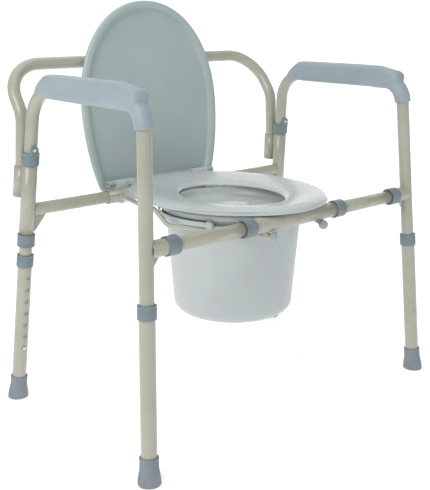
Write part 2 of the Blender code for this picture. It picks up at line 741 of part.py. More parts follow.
def lid_outline(inset, count=36):
    """The lid's oval, widest at LID_WIDEST and cut straight across below the hinge."""
    half = LID_HALF_X - inset
    above = LID_LENGTH - LID_WIDEST - inset
    below = 0.323 - inset
    tail = -LID_TAIL + inset - LID_WIDEST
    start = math.asin(tail / below)
    corner = 0.010
    points = []
    for i in range(count):
        angle = start + (math.pi - 2.0 * start) * i / (count - 1)
        squash = 2.0 / 2.1 if math.sin(angle) > 0.0 else 1.0
        rise = above if math.sin(angle) > 0.0 else below
        x = half * math.copysign(abs(math.cos(angle)) ** squash, math.cos(angle))
        y = LID_WIDEST + rise * math.copysign(abs(math.sin(angle)) ** squash, math.sin(angle))
        points.append((x, y))
    first, last = points[0], points[-1]
    points[0] = (first[0] - corner * 0.3, first[1])
    points[-1] = (last[0] + corner * 0.3, last[1])
    return points


def lid():
    """A shallow dish, open towards the seat, with two knuckles on the hinge pins."""
    t = LID_HALF_T
    sections = [(0.022, LID_PLATE - t), (0.011, t - 0.0005), (0.006, t), (0.001, t - 0.003),
                (0.001, 0.003 - t), (0.008, -t)]
    loops = [[(x, y, z) for x, y in lid_outline(inset)] for inset, z in sections]
    body = loft("lid", loops, LID_GREEN, closed_section=False)
    body.matrix_world = lid_frame()
    face = HINGE - lid_frame().col[2].to_3d() * (LID_PLANE_OFFSET + LID_HALF_T - 0.0025)
    arms = knuckle_pair(LID_KNUCKLE_X, (HINGE.y, HINGE.z), (face.y, face.z), 0.0055)
    body = combine(body, arms, "UNION")
    smooth(combine(body, pin_cutters(LID_KNUCKLE_X), "DIFFERENCE"))


# ---------------------------------------------------------------- pail
PAIL_ORIGIN = Vector((0.0, MID_Y + PAIL_Y, 0.0))
BEAD_R = 0.1475
BEAD_Z = (RAIL_Z + RAIL_R + GAP, RAIL_Z + RAIL_R + GAP + 0.003)
PIVOT_R = 0.0065


def pail_radius(z):
    slope = (PAIL_R_HIGH - PAIL_R_LOW) / (PAIL_Z_HIGH - PAIL_Z_LOW)
    return PAIL_R_LOW + slope * (z - PAIL_Z_LOW)


def pail():
    """A tapered bucket with a rolled rim and, below it, the bead that sits on the rails."""
    low, high = PAIL_RIM_Z
    corner = 0.024
    foot = pail_radius(PAIL_BOTTOM_Z + corner) - corner
    bend = arc((foot, PAIL_BOTTOM_Z + corner), corner, 0.0, -90.0, 4)
    inside = arc((foot, PAIL_BOTTOM_Z + corner), corner - PAIL_WALL, -90.0, 0.0, 4)
    profile = [(pail_radius(high) - 0.001, high), (PAIL_RIM_R - 0.002, high),
               (PAIL_RIM_R, high - 0.002), (PAIL_RIM_R, low), (PAIL_RIM_R - 0.002, low),
               (pail_radius(low), low + 0.002), (pail_radius(BEAD_Z[1]), BEAD_Z[1]),
               (BEAD_R, BEAD_Z[1]), (BEAD_R, BEAD_Z[0]), (pail_radius(BEAD_Z[0]), BEAD_Z[0])]
    profile += bend + [(0.0, PAIL_BOTTOM_Z), (0.0, PAIL_BOTTOM_Z + PAIL_WALL)] + inside
    profile += [(pail_radius(BEAD_Z[0]) - PAIL_WALL, BEAD_Z[0]),
                (pail_radius(high) - PAIL_WALL - 0.001, high - 0.002)]
    body = turned("pail", profile, PAIL_WHITE, PAIL_ORIGIN, ring=True, steps=28)
    smooth(combine(apply_all(body), handle_studs(), "UNION"))


def pail_lid():
    """The pail's own lid: a flange on the rim, a dished floor and a knob."""
    top = PAIL_RIM_Z[1] + GAP
    bore = pail_radius(PAIL_RIM_Z[1]) - 0.0045
    edge = PAIL_RIM_R - 0.0028
    profile = [(0.0, 0.4035), (0.031, 0.4035), (0.034, 0.4020), (0.036, 0.3985), (0.036, 0.3945),
               (0.060, 0.3930), (0.108, 0.3930), (0.116, 0.3965), (0.120, top + 0.0025),
               (edge - 0.002, top + 0.0028), (edge, top + 0.0015), (edge, top),
               (bore, top), (bore - 0.003, 0.4010), (0.1175, 0.4010), (0.1135, 0.3935),
               (0.108, 0.3910), (0.0, 0.3910)]
    turned("pail_lid", profile, SEAT_GREY, PAIL_ORIGIN, steps=28)


def pivot_direction():
    return Vector((math.cos(HANDLE_ANGLE), math.sin(HANDLE_ANGLE), 0.0))


def pail_handle():
    """A flat strap that lies round half the rim and turns on two pivots."""
    along = pivot_direction()
    behind = Vector((0.0, 0.0, 1.0)).cross(along)
    if behind.y < 0.0:
        behind.negate()
    inner, outer = HANDLE_R
    low, high = HANDLE_Z
    steps = 20
    start = math.asin((PIVOT_R - 0.001) / outer)
    loops = []
    for i in range(steps + 1):
        angle = start + (math.pi - 2.0 * start) * i / steps
        ray = along * math.cos(angle) + behind * math.sin(angle)
        loops.append([PAIL_ORIGIN + ray * r + Vector((0.0, 0.0, z))
                      for r, z in ((inner, low), (outer, low), (outer, high), (inner, high))])
    strap = loft("pail_handle", loops, PAIL_WHITE, closed_section=False)
    middle = (low + high) / 2.0
    eyes = []
    for sign in (-1.0, 1.0):
        centre = PAIL_ORIGIN + along * sign * inner + Vector((0.0, 0.0, middle))
        eyes.append(rod("eye", centre, centre + along * sign * (outer - inner), PIVOT_R + 0.0020))
    strap = combine(strap, eyes, "UNION")
    centre = PAIL_ORIGIN + Vector((0.0, 0.0, middle))
    holes = [cutter_rod(centre + along * sign * 0.120, centre + along * sign * 0.170,
                        PIVOT_R - 0.0021) for sign in (-1.0, 1.0)]
    smooth(combine(strap, holes, "DIFFERENCE"))


def handle_studs():
    """The two studs on the pail's wall that the handle turns on."""
    along = pivot_direction()
    middle = sum(HANDLE_Z) / 2.0
    root = pail_radius(middle) - PAIL_WALL * 0.5
    studs = []
    for sign in (-1.0, 1.0):
        profile = [(0.0, 0.1572), (PIVOT_R, 0.1572), (PIVOT_R, HANDLE_R[1] + GAP),
                   (PIVOT_R - 0.0025, HANDLE_R[1] + GAP), (PIVOT_R - 0.0025, HANDLE_R[0] - 0.0008),
                   (PIVOT_R - 0.0005, HANDLE_R[0] - 0.0008), (PIVOT_R - 0.0005, root),
                   (0.0, root)]
        base = PAIL_ORIGIN + Vector((0.0, 0.0, middle))
        studs.append(apply_all(turned("stud", profile, PAIL_WHITE, base, along * sign, steps=12)))
    return studs


# ---------------------------------------------------------------- pail rails
RAIL_END = Vector((0.066, MID_Y - 0.2130, RAIL_Z))
CAP_R = 0.0090
CAP_LENGTH = 0.0090


def rail_route(side):
    """From the rear crossbar out past the pail, down, and in again under the front crossbar."""
    rear_y = bar_point(0.0, REAR_BAR_Z, "rear").y - SLEEVE_R - GAP - 0.001
    corners = [(0.140, rear_y, 0.4040), (0.172, MID_Y + 0.060, 0.4085),
               (0.174, MID_Y + 0.016, 0.4085), (0.1665, MID_Y - 0.016, RAIL_Z), RAIL_END]
    corners = [Vector((side * x, y, z)) for x, y, z in corners]
    return fillet(corners, (0.030, 0.012, 0.020), 4)


def pail_rail(label, side):
    """A bent rod, capped in front, with the block that welds it under the front centre tube."""
    route = rail_route(side)
    end = route[-1]
    ahead = (end - route[-2]).normalized()
    route[-1] = end - ahead * (CAP_LENGTH * 0.4)
    rail = apply_all(route_curve(f"pail_rail_{label}", route, RAIL_R, PAINT, resolution=3))
    smooth(combine(rail, [rail_block(route[-2], route[-1])], "UNION"))
    rail_cap(f"rail_cap_{label}", end - ahead * CAP_LENGTH, ahead)


def rail_cap(name, base, ahead):
    """A round push-on cap over a rail's end."""
    bore = (RAIL_R + GAP) / math.cos(math.pi / 10)
    profile = [(0.0, CAP_LENGTH), (CAP_R - 0.002, CAP_LENGTH), (CAP_R, CAP_LENGTH - 0.002),
               (CAP_R, 0.003), (CAP_R - 0.002, 0.0), (bore, 0.0),
               (bore, CAP_LENGTH * 0.6 + GAP), (0.0, CAP_LENGTH * 0.6 + GAP)]
    return turned(name, profile, BLUE_GREY, base, ahead, ring=False)


def rail_block(before, after):
    """The saddle that joins a rail to the front centre tube above it."""
    bar = bar_point(0.0, FRONT_BAR_Z, "front")
    share = (bar.y - before.y) / (after.y - before.y)
    centre = before.lerp(after, share)
    height = 0.0125
    profile = [(0.0, height), (0.0065, height), (0.0065, 0.0), (0.0, 0.0)]
    block = apply_all(turned("block", profile, PAINT, centre, (0, 0, 1), steps=12))
    tube = cutter_rod(bar - Vector((0.120, 0, 0)), bar + Vector((0.120, 0, 0)), SLEEVE_R + 0.0005,
                      steps=24)
    return combine(block, [tube], "DIFFERENCE")


# ---------------------------------------------------------------- the chair
def build():
    for label, side in SIDES.items():
        route = side_frame(label, side)
        armrest(label, side, route)
        armrest_screws(label, side)
        rear_sleeve(label, side)
        for end in ("front", "rear"):
            lower_leg(label, side, end)
        hinge_bracket(label, side)
        hinge_pin(label, side)
        pail_rail(label, side)
    rear_crossbar()
    front_crossbar()
    back_bar()
    seat_ring()
    lid()
    pail()
    pail_lid()
    pail_handle()


build()
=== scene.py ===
"""Commode chair: the visual model. Fine pieces stand in for the faceted CAD pieces they follow.

Metres, +Z up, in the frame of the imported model. The floor is Z = 0 and the chair faces -Y.
"""

import json
import math

import bmesh
import bpy
from mathutils import Matrix, Vector

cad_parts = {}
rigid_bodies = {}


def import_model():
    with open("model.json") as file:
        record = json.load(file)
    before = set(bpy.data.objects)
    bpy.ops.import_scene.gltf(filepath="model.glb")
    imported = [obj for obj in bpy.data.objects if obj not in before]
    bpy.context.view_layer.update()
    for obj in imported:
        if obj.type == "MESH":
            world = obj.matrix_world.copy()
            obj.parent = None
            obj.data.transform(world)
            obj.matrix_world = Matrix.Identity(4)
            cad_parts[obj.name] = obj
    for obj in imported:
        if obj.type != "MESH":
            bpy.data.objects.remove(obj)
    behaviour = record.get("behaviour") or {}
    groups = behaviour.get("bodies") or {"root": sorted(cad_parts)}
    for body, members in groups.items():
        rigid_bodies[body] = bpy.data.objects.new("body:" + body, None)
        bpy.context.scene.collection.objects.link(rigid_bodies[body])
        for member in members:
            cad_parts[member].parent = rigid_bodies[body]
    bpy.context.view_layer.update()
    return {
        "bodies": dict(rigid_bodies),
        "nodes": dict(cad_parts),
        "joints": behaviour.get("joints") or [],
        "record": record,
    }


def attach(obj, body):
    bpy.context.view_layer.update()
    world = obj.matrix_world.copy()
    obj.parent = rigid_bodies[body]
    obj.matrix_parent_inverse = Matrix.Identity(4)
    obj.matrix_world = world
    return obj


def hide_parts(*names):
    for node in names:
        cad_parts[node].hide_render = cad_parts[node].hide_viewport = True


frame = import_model()

# ---------------------------------------------------------------- driving sizes
SIDES = {"left": -1, "right": 1}
GAP = 0.0003                       # clearance between pieces that touch

# leg axes: half spans at the reference height, and how far they splay per metre of drop
MID_Y = -0.0276                    # middle between the front and the rear legs
REF_Z = 0.400
HALF_SPAN_X = 0.353
HALF_SPAN_Y = 0.1945
SPLAY_X = 0.0496
SPLAY_FRONT = 0.066
SPLAY_REAR = 0.097

# tubes
TUBE_R = 0.0127                    # bent side frame, back bar and crossbar end tubes
SLEEVE_R = 0.0150                  # sleeves, stubs and crossbar centre tubes
LEG_R = 0.0143                     # adjustable lower legs
BORE_R = 0.0134                    # bore of everything a 25.4 mm tube slides in
WALL = 0.0014
RAIL_R = 0.00475
ROUND = 48                         # sides of a round tube

# heights on the frame
ARM_Z = 0.642
ARM_BEND_FRONT = 0.044
ARM_BEND_REAR = 0.068
UPRIGHT_END_Z = 0.097
LEG_TOP_Z = 0.306
LEG_END_Z = 0.012
TIP_HEIGHT = 0.048
SLEEVE_Z = (0.334, 0.514)
SOCKET_Z = (0.427, 0.488)
FRONT_BAR_Z = 0.4015
REAR_BAR_Z = 0.402

# leg adjustment
HOLE_PITCH = 0.0254
HOLE_COUNT = 7
LEG_BUTTON_Z = 0.1134
BUTTON_R = 0.0040
HOLE_R = 0.0045
BUTTON_STAND = 0.0030              # how far a button stands proud
SLEEVE_BUTTON_Z = 0.5265

# crossbars, all as |x|
STUB_END_X = 0.294
CENTRE_END_X = 0.131
LOCK_TUBE_X = (0.085, 0.330)
REAR_CENTRE_END_X = 0.165
REAR_END_TUBE_INNER_X = 0.120
COLLAR_LENGTH = 0.025
COLLAR_LIP = 0.005
COLLAR_WALL = 0.0022

# back bar
BACK_OFFSET_Y = 0.0315             # behind the rear sleeve's axis
BACK_TURN_BACK = 0.008             # how much further back the bar is where it turns
BACK_TURN_Z = 0.588
BACK_TOP_Z = 0.682
BACK_LEAN = math.radians(36.0)
BACK_CORNER_R = 0.080
BACK_TURN_R = 0.060

# seat, hinge and lid; y is measured from MID_Y
HINGE_Y = 0.214
HINGE_Z = 0.424
PIN_R = 0.0030
KNUCKLE_R = 0.0070
SEAT_HALF_X = 0.183
SEAT_FRONT_Y = -0.222
SEAT_REAR_Y = 0.219
SEAT_BOTTOM_Z = 0.419
SEAT_CREST_Z = 0.432
SEAT_LIP_Z = 0.4168
HOLE_HALF_X = 0.096
HOLE_FRONT_Y = -0.140
HOLE_REAR_Y = 0.106
LID_LEAN = math.radians(6.0)
LID_PLANE_OFFSET = 0.016           # hinge axis to the lid's middle plane
LID_HALF_X = 0.186
LID_WIDEST = 0.163                 # along the lid, from the hinge
LID_LENGTH = 0.391
LID_TAIL = 0.018                   # runs on below the hinge
LID_HALF_T = 0.006
LID_PLATE = 0.0035

# pail
PAIL_Y = -0.023                    # from MID_Y
PAIL_BOTTOM_Z = 0.180
PAIL_RIM_Z = (0.398, 0.408)
PAIL_RIM_R = 0.149
PAIL_R_LOW = 0.1218                # at PAIL_Z_LOW
PAIL_R_HIGH = 0.1380               # at PAIL_Z_HIGH
PAIL_Z_LOW = 0.190
PAIL_Z_HIGH = 0.380
PAIL_WALL = 0.0022
HANDLE_R = (0.1520, 0.1545)
HANDLE_Z = (0.3860, 0.3955)
HANDLE_ANGLE = math.radians(210.0)  # direction of one pivot, seen from above
RAIL_Z = 0.380


# ---------------------------------------------------------------- scene and materials
def new_collection(name):
    collection = bpy.data.collections.new(name)
    bpy.context.scene.collection.children.link(collection)
    return collection


def noise(nodes, links, scale, detail, stretch=(1.0, 1.0, 1.0)):
    """A noise texture in object space, stretched along the axes as asked."""
    place = nodes.new("ShaderNodeTexCoord")
    mapping = nodes.new("ShaderNodeMapping")
    mapping.inputs["Scale"].default_value = stretch
    links.new(place.outputs["Object"], mapping.inputs["Vector"])
    texture = nodes.new("ShaderNodeTexNoise")
    texture.inputs["Scale"].default_value = scale
    texture.inputs["Detail"].default_value = detail
    links.new(mapping.outputs["Vector"], texture.inputs["Vector"])
    return texture.outputs["Fac"]


def ramp(nodes, links, source, low, high, span=(0.35, 0.65)):
    """Map a 0-1 value onto a run between two colours."""
    node = nodes.new("ShaderNodeValToRGB")
    node.color_ramp.elements[0].position = span[0]
    node.color_ramp.elements[1].position = span[1]
    node.color_ramp.elements[0].color = (*low, 1.0)
    node.color_ramp.elements[1].color = (*high, 1.0)
    links.new(source, node.inputs["Fac"])
    return node.outputs["Color"]


def spread(nodes, links, source, low, high):
    node = nodes.new("ShaderNodeMapRange")
    node.inputs["From Min"].default_value = 0.3
    node.inputs["From Max"].default_value = 0.7
    node.inputs["To Min"].default_value = low
    node.inputs["To Max"].default_value = high
    links.new(source, node.inputs["Value"])
    return node.outputs["Result"]


def finish_material(name, light, dark, rough, grain, depth, metallic=0.0, coat=0.0,
                    subsurface=0.0, patch=9.0, stretch=(1.0, 1.0, 1.0), edge_wear_and_highlight=None):
    """A mottled surface with a fine grain; the edge colour, if given, is painted in specks on convex
    edges, partly as rubbed wear and partly as a painted highlight.
    """
    mat = bpy.data.materials.new(name)
    mat.use_nodes = True
    nodes, links = mat.node_tree.nodes, mat.node_tree.links
    shader = nodes["Principled BSDF"]
    shader.inputs["Metallic"].default_value = metallic
    shader.inputs["Coat Weight"].default_value = coat
    shader.inputs["Coat Roughness"].default_value = 0.18
    if subsurface:
        shader.inputs["Subsurface Weight"].default_value = subsurface
        shader.inputs["Subsurface Scale"].default_value = 0.004
    mottle = noise(nodes, links, patch, 5.0, stretch)
    colour = ramp(nodes, links, mottle, dark, light)
    # Convex edges get the lighter edge colour in specks: a painted highlight where that colour is a lit
    # tone.
    if edge_wear_and_highlight is not None:
        geometry = nodes.new("ShaderNodeNewGeometry")
        edge = ramp(nodes, links, geometry.outputs["Pointiness"], (0, 0, 0), (1, 1, 1), (0.53, 0.60))
        edge_specks = ramp(nodes, links, noise(nodes, links, 140.0, 3.0), (0, 0, 0), (1, 1, 1), (0.50, 0.58))
        both = nodes.new("ShaderNodeMath")
        both.operation = "MULTIPLY"
        links.new(edge, both.inputs[0])
        links.new(edge_specks, both.inputs[1])
        mix = nodes.new("ShaderNodeMix")
        mix.data_type = "RGBA"
        links.new(both.outputs[0], mix.inputs["Factor"])
        links.new(colour, mix.inputs[6])
        mix.inputs[7].default_value = (*edge_wear_and_highlight, 1.0)
        colour = mix.outputs[2]
    links.new(colour, shader.inputs["Base Color"])
    smear = noise(nodes, links, patch * 3.0, 4.0, stretch)
    links.new(spread(nodes, links, smear, rough - 0.06, rough + 0.07), shader.inputs["Roughness"])
    fine = noise(nodes, links, grain, 3.0, stretch)
    bump = nodes.new("ShaderNodeBump")
    bump.inputs["Strength"].default_value = 0.35
    bump.inputs["Distance"].default_value = depth
    links.new(fine, bump.inputs["Height"])
    links.new(bump.outputs["Normal"], shader.inputs["Normal"])
    return mat


PARTS = new_collection("commode_chair_fine")
CUTTERS = new_collection("cutters")
PAINT = finish_material("cream_enamel", (0.415, 0.420, 0.350), (0.375, 0.375, 0.300), 0.30, 520.0,
                        0.00005, coat=0.35, patch=11.0)
# The edge colour of this plastic is its lit tone: a painted highlight along the pad's convex edges.
BLUE_GREY = finish_material("blue_grey_plastic", (0.325, 0.400, 0.430), (0.285, 0.355, 0.385), 0.46, 900.0,
                            0.00012, patch=14.0, edge_wear_and_highlight=(0.42, 0.50, 0.53))
COLLAR_BLUE = finish_material("collar_plastic", (0.190, 0.235, 0.265), (0.165, 0.205, 0.235), 0.42, 700.0,
                              0.00010, patch=20.0, edge_wear_and_highlight=(0.33, 0.39, 0.42))
LID_GREEN = finish_material("lid_plastic", (0.410, 0.495, 0.485), (0.380, 0.465, 0.455), 0.40, 650.0,
                            0.00016, patch=7.0)
SEAT_GREY = finish_material("seat_plastic", (0.555, 0.60, 0.60), (0.52, 0.565, 0.565), 0.28, 500.0,
                            0.00006, coat=0.2, patch=6.0)
PAIL_WHITE = finish_material("pail_plastic", (0.495, 0.535, 0.540), (0.460, 0.500, 0.505), 0.38, 260.0,
                             0.00010, subsurface=0.15, patch=5.0)
RUBBER = finish_material("tip_rubber", (0.245, 0.285, 0.315), (0.205, 0.24, 0.27), 0.72, 800.0, 0.00025,
                         patch=30.0, edge_wear_and_highlight=(0.32, 0.34, 0.35))
STEEL = finish_material("bright_steel", (0.72, 0.70, 0.64), (0.60, 0.58, 0.52), 0.24, 900.0, 0.00005,
                        metallic=1.0, patch=60.0, stretch=(1.0, 1.0, 8.0))
# Near-black brown, given only to the handle studs.
DARK = finish_material("dark_plastic", (0.11, 0.09, 0.07), (0.07, 0.06, 0.05), 0.45, 700.0, 0.0001)


# ---------------------------------------------------------------- building blocks
PREFIX = "fine_"


def add_object(name, data, mat, collection=None):
    obj = bpy.data.objects.new(name if name.startswith(PREFIX) else PREFIX + name, data)
    (collection or PARTS).objects.link(obj)
    if mat is not None:
        data.materials.append(mat)
    return obj


def aim(obj, origin, direction, face=None):
    """Put an object at origin with its local Z along direction, and its local X near face."""
    z_axis = Vector(direction).normalized()
    hint = Vector(face) if face is not None else Vector((1.0, 0.0, 0.0))
    if abs(hint.normalized().dot(z_axis)) > 0.99:
        hint = Vector((0.0, 1.0, 0.0))
    y_axis = z_axis.cross(hint).normalized()
    x_axis = y_axis.cross(z_axis)
    matrix = Matrix((x_axis, y_axis, z_axis)).transposed().to_4x4()
    matrix.translation = Vector(origin)
    obj.matrix_world = matrix
    return obj


def turned(name, profile, mat, origin=(0, 0, 0), direction=(0, 0, 1), ring=False, steps=ROUND,
           collection=None, face=None):
    """A turned piece: (radius, height) points down the outer side; a ring's profile is closed."""
    mesh = bpy.data.meshes.new(name)
    count = len(profile)
    edges = [(i, i + 1) for i in range(count - 1)]
    if ring:
        edges.append((count - 1, 0))
    mesh.from_pydata([(radius, 0.0, height) for radius, height in profile], edges, [])
    obj = add_object(name, mesh, mat, collection)
    screw = obj.modifiers.new("Turn", "SCREW")
    screw.axis = "Z"
    screw.steps = steps
    screw.render_steps = steps
    screw.use_merge_vertices = True
    screw.merge_threshold = 0.00001
    screw.use_smooth_shade = True
    return aim(obj, origin, direction, face)


def evaluated_mesh(obj):
    depsgraph = bpy.context.evaluated_depsgraph_get()
    depsgraph.update()
    return bpy.data.meshes.new_from_object(obj.evaluated_get(depsgraph), depsgraph=depsgraph)


def apply_all(obj):
    """Turn a curve or a modified mesh into a plain, welded mesh object of the same name."""
    name = obj.name
    mesh = evaluated_mesh(obj)
    work = bmesh.new()
    work.from_mesh(mesh)
    bmesh.ops.remove_doubles(work, verts=work.verts, dist=0.00001)
    bmesh.ops.recalc_face_normals(work, faces=work.faces)
    work.to_mesh(mesh)
    work.free()
    matrix = obj.matrix_world.copy()
    collection = obj.users_collection[0]
    bpy.data.objects.remove(obj, do_unlink=True)
    result = bpy.data.objects.new(name, mesh)
    collection.objects.link(result)
    result.matrix_world = matrix
    return result


def as_cutter(obj):
    obj.hide_render = True
    obj.display_type = "WIRE"
    return obj


def combine(obj, others, operation):
    """Boolean each of the other objects into obj and bake the result; the others are used up."""
    bpy.context.view_layer.update()
    for other in others:
        step = obj.modifiers.new(operation.title(), "BOOLEAN")
        step.operation = operation
        step.solver = "EXACT"
        step.object = other
    result = apply_all(obj)
    for other in others:
        bpy.data.objects.remove(other, do_unlink=True)
    return result


def rod(name, start, end, radius, mat=None, steps=ROUND, collection=None, face=None):
    """A plain solid cylinder between two points."""
    start = Vector(start)
    run = Vector(end) - start
    profile = [(0.0, run.length), (radius, run.length), (radius, 0.0), (0.0, 0.0)]
    return turned(name, profile, mat, start, run, steps=steps, collection=collection, face=face)


def pipe(name, start, end, outer, inner, mat, steps=ROUND, face=None):
    """A hollow cylinder between two points."""
    start = Vector(start)
    run = Vector(end) - start
    profile = [(outer, run.length), (outer, 0.0), (inner, 0.0), (inner, run.length)]
    return turned(name, profile, mat, start, run, ring=True, steps=steps, face=face)


def cutter_rod(start, end, radius, steps=32):
    return as_cutter(rod("cut", start, end, radius, steps=steps, collection=CUTTERS))


def fillet(corners, radii, per_turn=18):
    """Points of a route through the corners, with each inner corner rounded by an arc."""
    points = [Vector(corners[0])]
    for before, corner, after, radius in zip(corners, corners[1:], corners[2:], radii):
        corner = Vector(corner)
        into = (corner - Vector(before)).normalized()
        out = (Vector(after) - corner).normalized()
        turn = into.angle(out)
        if radius <= 0.0 or turn < 0.001:
            points.append(corner)
            continue
        reach = radius * math.tan(turn / 2.0)
        start = corner - into * reach
        side = (out - into * out.dot(into)).normalized()
        for step in range(per_turn + 1):
            angle = turn * step / per_turn
            points.append(start + into * radius * math.sin(angle)
                          + side * radius * (1.0 - math.cos(angle)))
    points.append(Vector(corners[-1]))
    return points


def route_curve(name, points, radius, mat, resolution=22, collection=None, capped=True):
    """A round bar along a route; resolution 22 gives it the 48 sides of a frame tube."""
    curve = bpy.data.curves.new(name, "CURVE")
    curve.dimensions = "3D"
    curve.bevel_depth = radius
    curve.bevel_resolution = resolution
    curve.use_fill_caps = capped
    spline = curve.splines.new("POLY")
    spline.points.add(len(points) - 1)
    for point, place in zip(spline.points, points):
        point.co = (*place, 1.0)
    return add_object(name, curve, mat, collection)


def bent_tube(name, points, radius, mat):
    """A hollow bent tube, open at both ends."""
    tube = apply_all(route_curve(name, points, radius, mat, capped=False))
    shell = tube.modifiers.new("Wall", "SOLIDIFY")
    shell.thickness = WALL
    shell.offset = -1.0
    shell.use_even_offset = True
    return tube


def plate(name, loops, thickness, mat, matrix, bevel=0.0, collection=None):
    """A flat plate from closed outlines (holes are further loops) in a plane given by matrix."""
    curve = bpy.data.curves.new(name, "CURVE")
    curve.dimensions = "2D"
    curve.fill_mode = "BOTH"
    curve.extrude = thickness / 2.0 - bevel
    curve.bevel_depth = bevel
    curve.bevel_resolution = 1
    for loop in loops:
        spline = curve.splines.new("POLY")
        spline.points.add(len(loop) - 1)
        spline.use_cyclic_u = True
        for point, (across, up) in zip(spline.points, loop):
            point.co = (across, up, 0.0, 1.0)
    obj = add_object(name, curve, mat, collection)
    obj.matrix_world = matrix
    return apply_all(obj)


def side_plane(x):
    """Local X runs to world Y and local Y to world Z, at the given x."""
    return Matrix(((0, 0, 1, x), (1, 0, 0, 0), (0, 1, 0, 0), (0, 0, 0, 1)))


def front_plane(y):
    """Local X runs to world X and local Y to world Z, at the given y."""
    return Matrix(((1, 0, 0, 0), (0, 0, -1, y), (0, 1, 0, 0), (0, 0, 0, 1)))


def arc(centre, radius, start_deg, end_deg, steps):
    """Points on an arc in a plane, from one angle to another, both included."""
    return [(centre[0] + radius * math.cos(math.radians(angle)),
             centre[1] + radius * math.sin(math.radians(angle)))
            for angle in (start_deg + (end_deg - start_deg) * i / steps for i in range(steps + 1))]


def loft(name, loops, mat, closed_section):
    """A solid through rings of points; a closed section makes a ring, an open one gets end caps."""
    work = bmesh.new()
    rings = [[work.verts.new(point) for point in loop] for loop in loops]
    pairs = list(zip(rings, rings[1:]))
    if closed_section:
        pairs.append((rings[-1], rings[0]))
    for ring_a, ring_b in pairs:
        for i in range(len(ring_a)):
            j = (i + 1) % len(ring_a)
            work.faces.new((ring_a[i], ring_a[j], ring_b[j], ring_b[i]))
    if not closed_section:
        work.faces.new(list(reversed(rings[0])))
        work.faces.new(rings[-1])
    bmesh.ops.recalc_face_normals(work, faces=work.faces)
    mesh = bpy.data.meshes.new(name)
    work.to_mesh(mesh)
    work.free()
    return add_object(name, mesh, mat)


def smooth(obj, angle=40.0):
    obj.data.shade_smooth()
    obj.data.set_sharp_from_angle(angle=math.radians(angle))
    return obj


# ---------------------------------------------------------------- leg axes
def leg_axis(side, end, z):
    """The point of a leg's axis at a height; side is -1 or 1, end is front or rear."""
    drop = REF_Z - z
    x = side * (HALF_SPAN_X + SPLAY_X * drop)
    if end == "front":
        return Vector((x, MID_Y - HALF_SPAN_Y - SPLAY_FRONT * drop, z))
    return Vector((x, MID_Y + HALF_SPAN_Y + SPLAY_REAR * drop, z))


def leg_up(side, end):
    lean = SPLAY_FRONT if end == "front" else -SPLAY_REAR
    return Vector((-side * SPLAY_X, lean, 1.0)).normalized()


def hole_direction(side, end):
    """The way a leg's holes face: square to the leg, front legs to the rear, rear legs forward."""
    up = leg_up(side, end)
    facing = Vector((0.0, 1.0 if end == "front" else -1.0, 0.0))
    return (facing - up * facing.dot(up)).normalized()


# ---------------------------------------------------------------- collars, tips and buttons
def collar(name, end_point, outward, tube_r, mat=COLLAR_BLUE):
    """A plastic collar over a tube's end, with a lip that closes on the thinner tube inside."""
    outer = tube_r + GAP + COLLAR_WALL
    body = COLLAR_LENGTH - COLLAR_LIP
    grip = tube_r + GAP
    edge = 0.0011
    profile = [(BORE_R, COLLAR_LIP - 0.0006), (BORE_R + 0.0008, COLLAR_LIP)]
    profile += arc((outer - edge, COLLAR_LIP - edge), edge, 90.0, 0.0, 5)
    profile += [(outer, 0.0008), (outer - 0.0003, 0.0003), (outer - 0.0003, -0.0003),
                (outer, -0.0008)]
    profile += arc((outer - edge, edge - body), edge, 0.0, -90.0, 5)
    profile += [(grip, -body), (grip, GAP), (BORE_R, GAP)]
    return turned(name, profile, mat, end_point, outward, ring=True)


def leg_tip(name, side, end):
    """A flared rubber tip on a leg, with its foot cut level with the floor."""
    base = leg_axis(side, end, 0.0)
    up = leg_up(side, end)
    socket = LEG_R / math.cos(math.pi / ROUND) + GAP
    profile = [(socket + 0.0003, TIP_HEIGHT)]
    profile += arc((0.0160, TIP_HEIGHT - 0.0012), 0.0012, 90.0, 0.0, 4)
    profile += [(0.0172, TIP_HEIGHT - 0.0045), (0.0168, TIP_HEIGHT - 0.0055), (0.0170, 0.030),
                (0.0173, 0.026), (0.0180, 0.022), (0.0188, 0.018), (0.0196, 0.013),
                (0.0202, 0.009), (0.0205, 0.006), (0.0200, 0.0052), (0.0205, 0.0044)]
    profile += [(0.0205, -0.004), (0.0, -0.004), (0.0, LEG_END_Z - GAP),
                (socket, LEG_END_Z - GAP), (socket, TIP_HEIGHT - 0.001)]
    tip = turned(name, profile, RUBBER, base, up, ring=True)
    tip = apply_all(tip)
    work = bmesh.new()
    work.from_mesh(tip.data)
    work.transform(tip.matrix_world)
    cut = bmesh.ops.bisect_plane(work, geom=work.verts[:] + work.edges[:] + work.faces[:],
                                 plane_co=(0, 0, 0), plane_no=(0, 0, 1), clear_inner=True)
    rim = [item for item in cut["geom_cut"] if isinstance(item, bmesh.types.BMEdge)]
    bmesh.ops.holes_fill(work, edges=rim, sides=0)
    work.transform(tip.matrix_world.inverted())
    bmesh.ops.recalc_face_normals(work, faces=work.faces)
    work.to_mesh(tip.data)
    work.free()
    return smooth(tip)


def snap_button(name, centre, up, outward, tip_reach):
    """A domed steel pin, its flange inside the tube and the spring leaf that carries it."""
    flange_face = TUBE_R - WALL - 0.0022
    profile = [(0.0, tip_reach), (BUTTON_R * 0.6, tip_reach - 0.0005),
               (BUTTON_R, tip_reach - 0.0020), (BUTTON_R, flange_face),
               (0.0055, flange_face), (0.0055, flange_face - 0.0015),
               (0.0, flange_face - 0.0015)]
    pin = apply_all(turned(name, profile, STEEL, centre, outward, steps=32))
    plane = Matrix((up, outward, up.cross(outward))).transposed().to_4x4()
    plane.translation = centre
    top = flange_face - 0.0008
    outline = [(0.003, top), (0.003, top - 0.0012), (-0.006, top - 0.0012), (-0.026, -0.0022),
               (-0.026, -0.0010), (-0.006, top)]
    leaf = plate("leaf", [outline], 0.0044, STEEL, plane)
    return smooth(combine(pin, [leaf], "UNION"))


